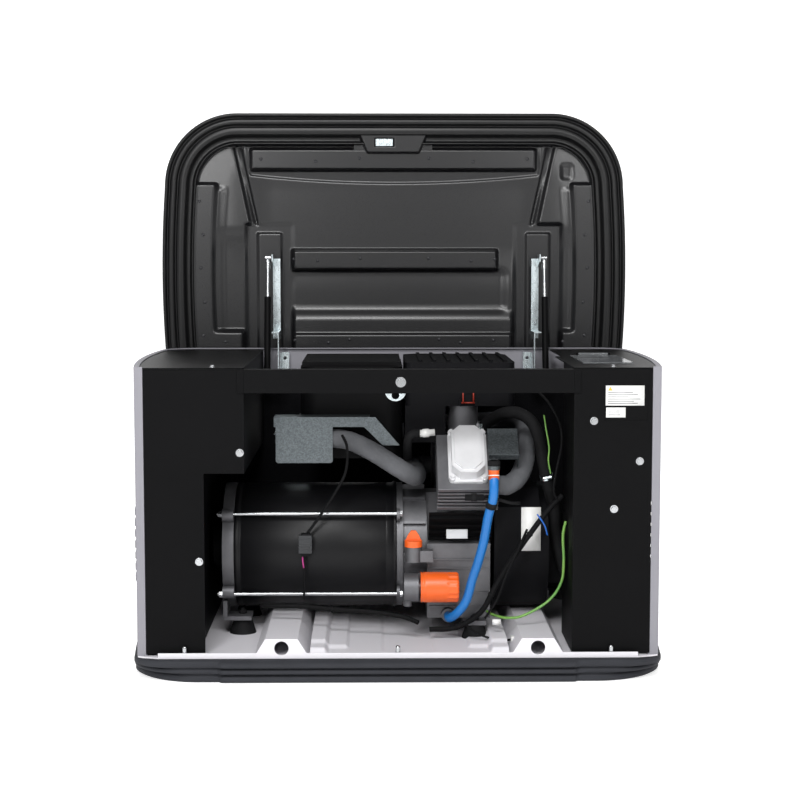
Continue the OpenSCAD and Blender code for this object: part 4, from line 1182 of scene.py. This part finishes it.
class GENERATOR_OT_hoses(bpy.types.Operator):
    """Builds the fuel hose, the oil drain hose and the wrapped exhaust pipes"""

    bl_idname = "generator.hoses"
    bl_label = "Hoses and pipes"

    def execute(self, context):
        make_piece(
            "fuel_line", tube(smooth_route(ROUTES["fuel"]), 0.0135), "frame", "rubber",
            ["fuel_hose"],
        )
        self.clamps()
        make_piece(
            "drain_line", tube(smooth_route(ROUTES["drain"]), 0.0098), "frame", "blue_hose",
            ["drain_hose"],
        )
        pipes = [
            self.wrapped(smooth_route(ROUTES[name], 0.0035), 0.0205)
            for name in ("rear_exhaust", "front_exhaust")
        ]
        make_piece(
            "exhaust_wrapped", joined(pipes), "frame", "exhaust_wrap", ["exhaust_pipes"]
        )
        return {"FINISHED"}

    def wrapped(self, path, radius):
        """A pipe under wrap: its radius rises by 0.5 mm along each 24 mm turn of the tape."""
        length = np.concatenate([[0], np.cumsum(np.linalg.norm(np.diff(path, axis=0), axis=1))])
        lap = (length / 0.024) % 1
        return tube(path, radius + 0.0007 * lap, 32)

    def clamps(self):
        """Band clamps: a tall ring round the hose, with a worm screw housing on each."""
        path = smooth_route(ROUTES["fuel"])
        tangent = unit(np.gradient(path, axis=0))
        width = sizes().clamp_width
        shells = []
        for at in (0.012, 0.43, 0.98):
            k = int(at * (len(path) - 1))
            ring = [(0.0134, -width / 2), (0.0148, -width / 2), (0.0148, width / 2),
                    (0.0134, width / 2), (0.0134, -width / 2)]
            shells.append(lathe(ring, path[k], tangent[k], 40))
            screw = [(0.0, -0.009), (0.0034, -0.009), (0.0034, 0.006), (0.0045, 0.006),
                     (0.0045, 0.01), (0.0, 0.01)]
            across = unit(np.cross(tangent[k], (0.1, 1, 0.1)))
            shells.append(lathe(screw, path[k] + np.array((0, -0.0172, 0)), across, 12))
        make_piece("hose_clamps", joined(shells), "frame", "zinc", bevel=0.0003)


class GENERATOR_OT_wiring(bpy.types.Operator):
    """Builds the wiring harness, sensor lead, earth wire and plug lead"""

    bl_idname = "generator.wiring"
    bl_label = "Wiring"

    def execute(self, context):
        loom = [
            tube(smooth_route(ROUTES["main_loom"]), 0.006, 16),
            tube(smooth_route(ROUTES["tail_loom"]), 0.005, 16),
        ]
        make_piece("loom", joined(loom), "frame", "wire_black", ["wiring_harness"])
        sensor = [
            tube(smooth_route(ROUTES["sensor"]), 0.0032, 12),
            tube(smooth_route(ROUTES["sensor_tail"]), 0.0026, 12),
            block((-0.211, -0.191), (-0.180, -0.164), (0.236, 0.287)),
        ]
        make_piece(
            "sensor_wire", joined(sensor), "frame", "wire_black", ["sensor_lead"],
            bevel=0.0008, limit=60,
        )
        make_piece(
            "earth_wire", tube(smooth_route(ROUTES["ground"]), 0.003, 12), "frame",
            "wire_green", ["ground_wire"],
        )
        refine("spark_plug_lead", 0.0)
        return {"FINISHED"}


# ---- Controls ----


class GENERATOR_OT_controls(bpy.types.Operator):
    """Refines the controller, its window and switch, and the battery"""

    bl_idname = "generator.controls"
    bl_label = "Controls and battery"

    def execute(self, context):
        refine("controller", 0.002)
        refine("control_window", 0.0006)
        refine("mode_switch", 0.0008)
        refine("battery", 0.0025)
        return {"FINISHED"}


# ---- Small fittings ----


class GENERATOR_OT_fittings(bpy.types.Operator):
    """Builds the blank labels, hose fittings, connectors and loose wires"""

    bl_idname = "generator.fittings"
    bl_label = "Labels and small fittings"

    def execute(self, context):
        self.labels()
        self.hose_fittings()
        self.connectors()
        self.wires()
        return {"FINISHED"}

    def labels(self):
        """Blank labels with plain printed bars in place of any wording."""
        face = corners("right_control_box")[0][1]
        stock = [
            block((0.433, 0.514), (face - 0.0006, face), (0.582, 0.624)),
            block((0.434, 0.475), (face - 0.0006, face), (0.557, 0.578)),
            block((0.273, 0.316), (-0.1636, -0.162), (0.245, 0.342)),
        ]
        make_piece("blank_labels", joined(stock), "frame", "switch_plastic", finish="label_white")
        print_y = (face - 0.0008, face - 0.0004)
        levels = np.arange(0.586, 0.612, 0.0045)
        ends = (0.5, 0.492, 0.505, 0.48, 0.5, 0.49)
        rows = [
            block((0.438, end), print_y, (level, level + 0.0014))
            for level, end in zip(levels, ends)
        ]
        rows += [
            block((0.439, 0.463), print_y, (level, level + 0.0012))
            for level in (0.562, 0.566, 0.57)
        ]
        make_piece("label_bars", joined(rows), "frame", "switch_plastic", finish="print_grey")
        flash = extruded([(0.438, 0.6135), (0.447, 0.6135), (0.4425, 0.6215)], *print_y)
        make_piece("label_flash", flash, "frame", "switch_plastic", finish="print_yellow")
        plate = block((0.107, 0.154), (-0.1845, -0.1785), (0.276, 0.297))
        make_piece(
            "data_plate", plate, "frame", "bright_steel", finish="label_silver", bevel=0.0008
        )

    def hose_fittings(self):
        """The drain hose's union, collar and clip, and the breather's white coupling."""
        bore = 0.0098
        union = [(bore, -0.024), (0.0112, -0.024), (0.0114, -0.006), (0.0128, -0.004),
                 (0.0128, 0.005), (bore, 0.005)]
        collar = [(bore, 0.005), (0.0134, 0.005), (0.0134, 0.0155), (0.009, 0.0165)]
        ring = [(bore, -0.001), (0.0122, -0.001), (0.0122, 0.001), (bore, 0.001)]
        band = [(bore, -0.007), (0.0118, -0.006), (0.0118, 0.006), (bore, 0.007)]
        top = np.array(ROUTES["drain"][0])
        path = smooth_route(ROUTES["drain"])
        tangent = unit(np.gradient(path, axis=0))
        on_ring, on_band = (int(np.argmin(np.abs(path[:, 2] - z))) for z in (0.43, 0.368))
        for name, profile, at, axis, slot, finish in (
            ("hose_union", union, top, (0, 0, 1), "orange_plastic", None),
            ("hose_collar", collar, top, (0, 0, 1), "rubber", None),
            ("hose_ring", ring, path[on_ring], tangent[on_ring], "switch_plastic",
             "white_plastic"),
            ("hose_band", band, path[on_band], tangent[on_band], "rubber", None),
        ):
            make_piece(
                name, lathe(profile, at, axis, 32), "frame", slot, finish=finish, closed=False
            )
        coupling = [(0.0, -0.018), (0.008, -0.018), (0.008, -0.01), (0.0095, -0.009),
                    (0.0095, 0.004), (0.0075, 0.006), (0.0075, 0.018), (0.0, 0.018)]
        make_piece("breather_coupling", lathe(coupling, (0.066, -0.12, 0.502), (1, 0, 0.08), 28),
                   "frame", "switch_plastic", finish="white_plastic")
        elbow = [(0.05, -0.12, 0.5008), (0.036, -0.12, 0.5), (0.026, -0.118, 0.49),
                 (0.023, -0.11, 0.468), (0.024, -0.09, 0.444)]
        make_piece("breather_elbow", tube(smooth_route(elbow), 0.0102, 24), "frame", "rubber")

    def connectors(self):
        """The sensor's plug, the spare white plug and the ties round the looms."""
        shell = block((-0.2165, -0.1875), (-0.181, -0.163), (0.243, 0.283))
        ribs = [block((-0.2175, -0.1865), (-0.182, -0.162), (z, z + 0.002))
                for z in (0.25, 0.256, 0.262, 0.274)]
        make_piece("sensor_plug", joined([shell] + ribs), "frame", "controller_plastic",
                   bevel=0.0008)
        spare = [block((0.243, 0.262), (-0.268, -0.252), (0.0625, 0.0765)),
                 block((0.262, 0.273), (-0.266, -0.254), (0.064, 0.075))]
        make_piece("spare_plug", joined(spare), "frame", "switch_plastic",
                   finish="white_plastic", bevel=0.0006)
        flag = block((0.206, 0.224), (-0.2275, -0.2265), (0.093, 0.106))
        make_piece("wire_flag", flag, "frame", "switch_plastic", finish="label_white")
        bands = [(0.0, 0.0), (0.0072, 0.0), (0.0072, 0.004), (0.0, 0.004)]
        shells = []
        for route, share in (("main_loom", 0.25), ("main_loom", 0.62), ("tail_loom", 0.45)):
            path = smooth_route(ROUTES[route])
            tangent = unit(np.gradient(path, axis=0))
            k = int(share * (len(path) - 1))
            shells.append(lathe(bands, path[k], tangent[k], 16))
        make_piece("loom_ties", joined(shells), "frame", "rubber")

    def wires(self):
        """Loose leads: each a tube of its own cable size along a smooth curve."""
        black = [
            ([(0.306, -0.13, 0.6), (0.33, -0.19, 0.573), (0.352, -0.2, 0.53), (0.3565, -0.2, 0.486),
              (0.346, -0.2, 0.43), (0.34, -0.2, 0.385), (0.35, -0.196, 0.36)], 0.0028),
            ([(0.245, -0.26, 0.069), (0.225, -0.256, 0.0665), (0.195, -0.246, 0.07),
              (0.165, -0.236, 0.082), (0.15, -0.222, 0.092)], 0.0026),
            ([(0.282, -0.205, 0.3), (0.262, -0.222, 0.26), (0.236, -0.232, 0.206),
              (0.216, -0.232, 0.152), (0.19, -0.226, 0.108)], 0.0026),
        ]
        shells = [tube(smooth_route(route), radius, 10) for route, radius in black]
        make_piece("loose_leads", joined(shells), "frame", "wire_black")
        thin = {
            "wire_green": [(0.3187, -0.19, 0.548), (0.322, -0.2, 0.52), (0.329, -0.2, 0.48),
                           (0.328, -0.198, 0.45), (0.334, -0.19, 0.42)],
            "wire_blue": [(0.303, -0.212, 0.334), (0.312, -0.216, 0.322), (0.32, -0.216, 0.308),
                          (0.326, -0.21, 0.288)],
            "wire_magenta": [(-0.2075, -0.172, 0.244), (-0.208, -0.174, 0.228),
                             (-0.2055, -0.1735, 0.21)],
        }
        for finish, route in thin.items():
            make_piece(
                finish + "_lead", tube(smooth_route(route), 0.0017, 8), "frame", "wire_green",
                finish=finish,
            )


# ---- Stage ----

# Where the camera stands, and how far it looks down and to the right, in radians
CAMERA_PLACE = (-0.04887, -3.79, 0.90612)
CAMERA_PITCH, CAMERA_YAW = 0.0898736, 0.0151176
# Name, place, target, width, height and watts of each light
LIGHTS = (
    ("key", (-0.3, -3.0, 3.2), (0, 0, 0.45), 1.6, 1.0, 95),
    ("left", (-1.2, -3.4, 1.9), (0, 0.2, 0.9), 0.5, 0.9, 40),
    ("right", (1.25, -3.4, 1.9), (0, 0.2, 0.9), 0.5, 0.9, 28),
    ("back", (0.0, 2.4, 2.6), (0, 0.3, 0.7), 2.4, 1.0, 40),
)


class GENERATOR_OT_stage(bpy.types.Operator):
    """Sets up the pale floor, the soft lights and the camera"""

    bl_idname = "generator.stage"
    bl_label = "Studio"

    def execute(self, context):
        scene = context.scene
        scene.view_settings.view_transform = "Standard"
        world = bpy.data.worlds.new("studio")
        world.use_nodes = True
        world.node_tree.nodes["Background"].inputs[0].default_value = (1, 1, 1, 1)
        world.node_tree.nodes["Background"].inputs[1].default_value = 0.3
        scene.world = world
        self.floor()
        for light in LIGHTS:
            self.light(*light)
        self.camera()
        return {"FINISHED"}

    def floor(self):
        """A sweep: flat floor that turns up behind the object through a quarter circle."""
        reach, bend_y, radius, top, rows = 30, 3.5, 2, 14, 60
        flat = np.linspace(-reach, bend_y, rows)
        turn = np.linspace(0, np.pi / 2, 24)[1:]
        wall = np.linspace(radius + 0.2, top, 6)
        y = np.concatenate(
            [flat, bend_y + radius * np.sin(turn), np.full(len(wall), bend_y + radius)]
        )
        z = np.concatenate([np.zeros(rows), radius - radius * np.cos(turn), wall])
        x = np.linspace(-reach, reach, 30)
        points = np.stack(
            [
                np.broadcast_to(x[None, :], (len(y), len(x))),
                np.broadcast_to(y[:, None], (len(y), len(x))),
                np.broadcast_to(z[:, None], (len(y), len(x))),
            ],
            -1,
        )
        shell = sheet_of(points)
        mesh = bpy.data.meshes.new("floor")
        mesh.from_pydata(shell[0].tolist(), [], shell[1])
        mesh.polygons.foreach_set("use_smooth", np.ones(len(mesh.polygons), bool))
        floor = bpy.data.objects.new("floor", mesh)
        bpy.context.scene.collection.objects.link(floor)
        mesh.materials.append(
            surface(
                "paper_matt_white", colours().floor, 0.01, 400, 3, 0.01, (0.7, 0.8),
                shader={"Emission Color": (1, 1, 1, 1), "Emission Strength": 0.62},
            )
        )

    def light(self, name, place, target, width, height, power):
        data = bpy.data.lights.new(name, "AREA")
        data.shape = "RECTANGLE"
        data.size, data.size_y, data.energy = width, height, power
        light = bpy.data.objects.new(name, data)
        light.location = place
        aim = np.array(target, float) - np.array(place, float)
        light.rotation_euler = Vector(aim).to_track_quat("-Z", "Y").to_euler()
        bpy.context.scene.collection.objects.link(light)

    def camera(self):
        data = bpy.data.cameras.new("camera")
        data.lens = sizes().lens
        data.sensor_width = 36
        camera = bpy.data.objects.new("camera", data)
        camera.location = CAMERA_PLACE
        camera.rotation_euler = (math.pi / 2 - CAMERA_PITCH, 0, -CAMERA_YAW)
        bpy.context.scene.collection.objects.link(camera)
        bpy.context.scene.camera = camera


class GENERATOR_PT_panel(bpy.types.Panel):
    """Lists the generator's pieces in the 3D view's sidebar"""

    bl_label = "Standby Generator"
    bl_idname = "GENERATOR_PT_panel"
    bl_space_type = "VIEW_3D"
    bl_region_type = "UI"
    bl_category = "Generator"

    def draw(self, context):
        column = self.layout.column(align=True)
        for operator in OPERATORS:
            column.operator(operator.bl_idname)
        for group in (context.scene.generator_sizes, context.scene.generator_colours):
            column = self.layout.column(align=True)
            for name in type(group).__annotations__:
                column.prop(group, name)


OPERATORS = (
    GENERATOR_OT_stage,
    GENERATOR_OT_hoses,
    GENERATOR_OT_wiring,
    GENERATOR_OT_pad,
    GENERATOR_OT_enclosure,
    GENERATOR_OT_hardware,
    GENERATOR_OT_alternator,
    GENERATOR_OT_engine,
    GENERATOR_OT_oil,
    GENERATOR_OT_air,
    GENERATOR_OT_controls,
    GENERATOR_OT_fittings,
    GENERATOR_OT_lid,
)
CLASSES = (GeneratorSizes, GeneratorColours, *OPERATORS, GENERATOR_PT_panel)


def register():
    for item in CLASSES:
        bpy.utils.register_class(item)
    bpy.types.Scene.generator_sizes = PointerProperty(type=GeneratorSizes)
    bpy.types.Scene.generator_colours = PointerProperty(type=GeneratorColours)


def unregister():
    del bpy.types.Scene.generator_colours
    del bpy.types.Scene.generator_sizes
    for item in reversed(CLASSES):
        bpy.utils.unregister_class(item)


def main():
    """Builds everything in order."""
    register()
    FINISH.update(finishes())
    for operator in OPERATORS:
        group, name = operator.bl_idname.split(".")
        getattr(getattr(bpy.ops, group), name)()


if __name__ == "__main__":
    main()
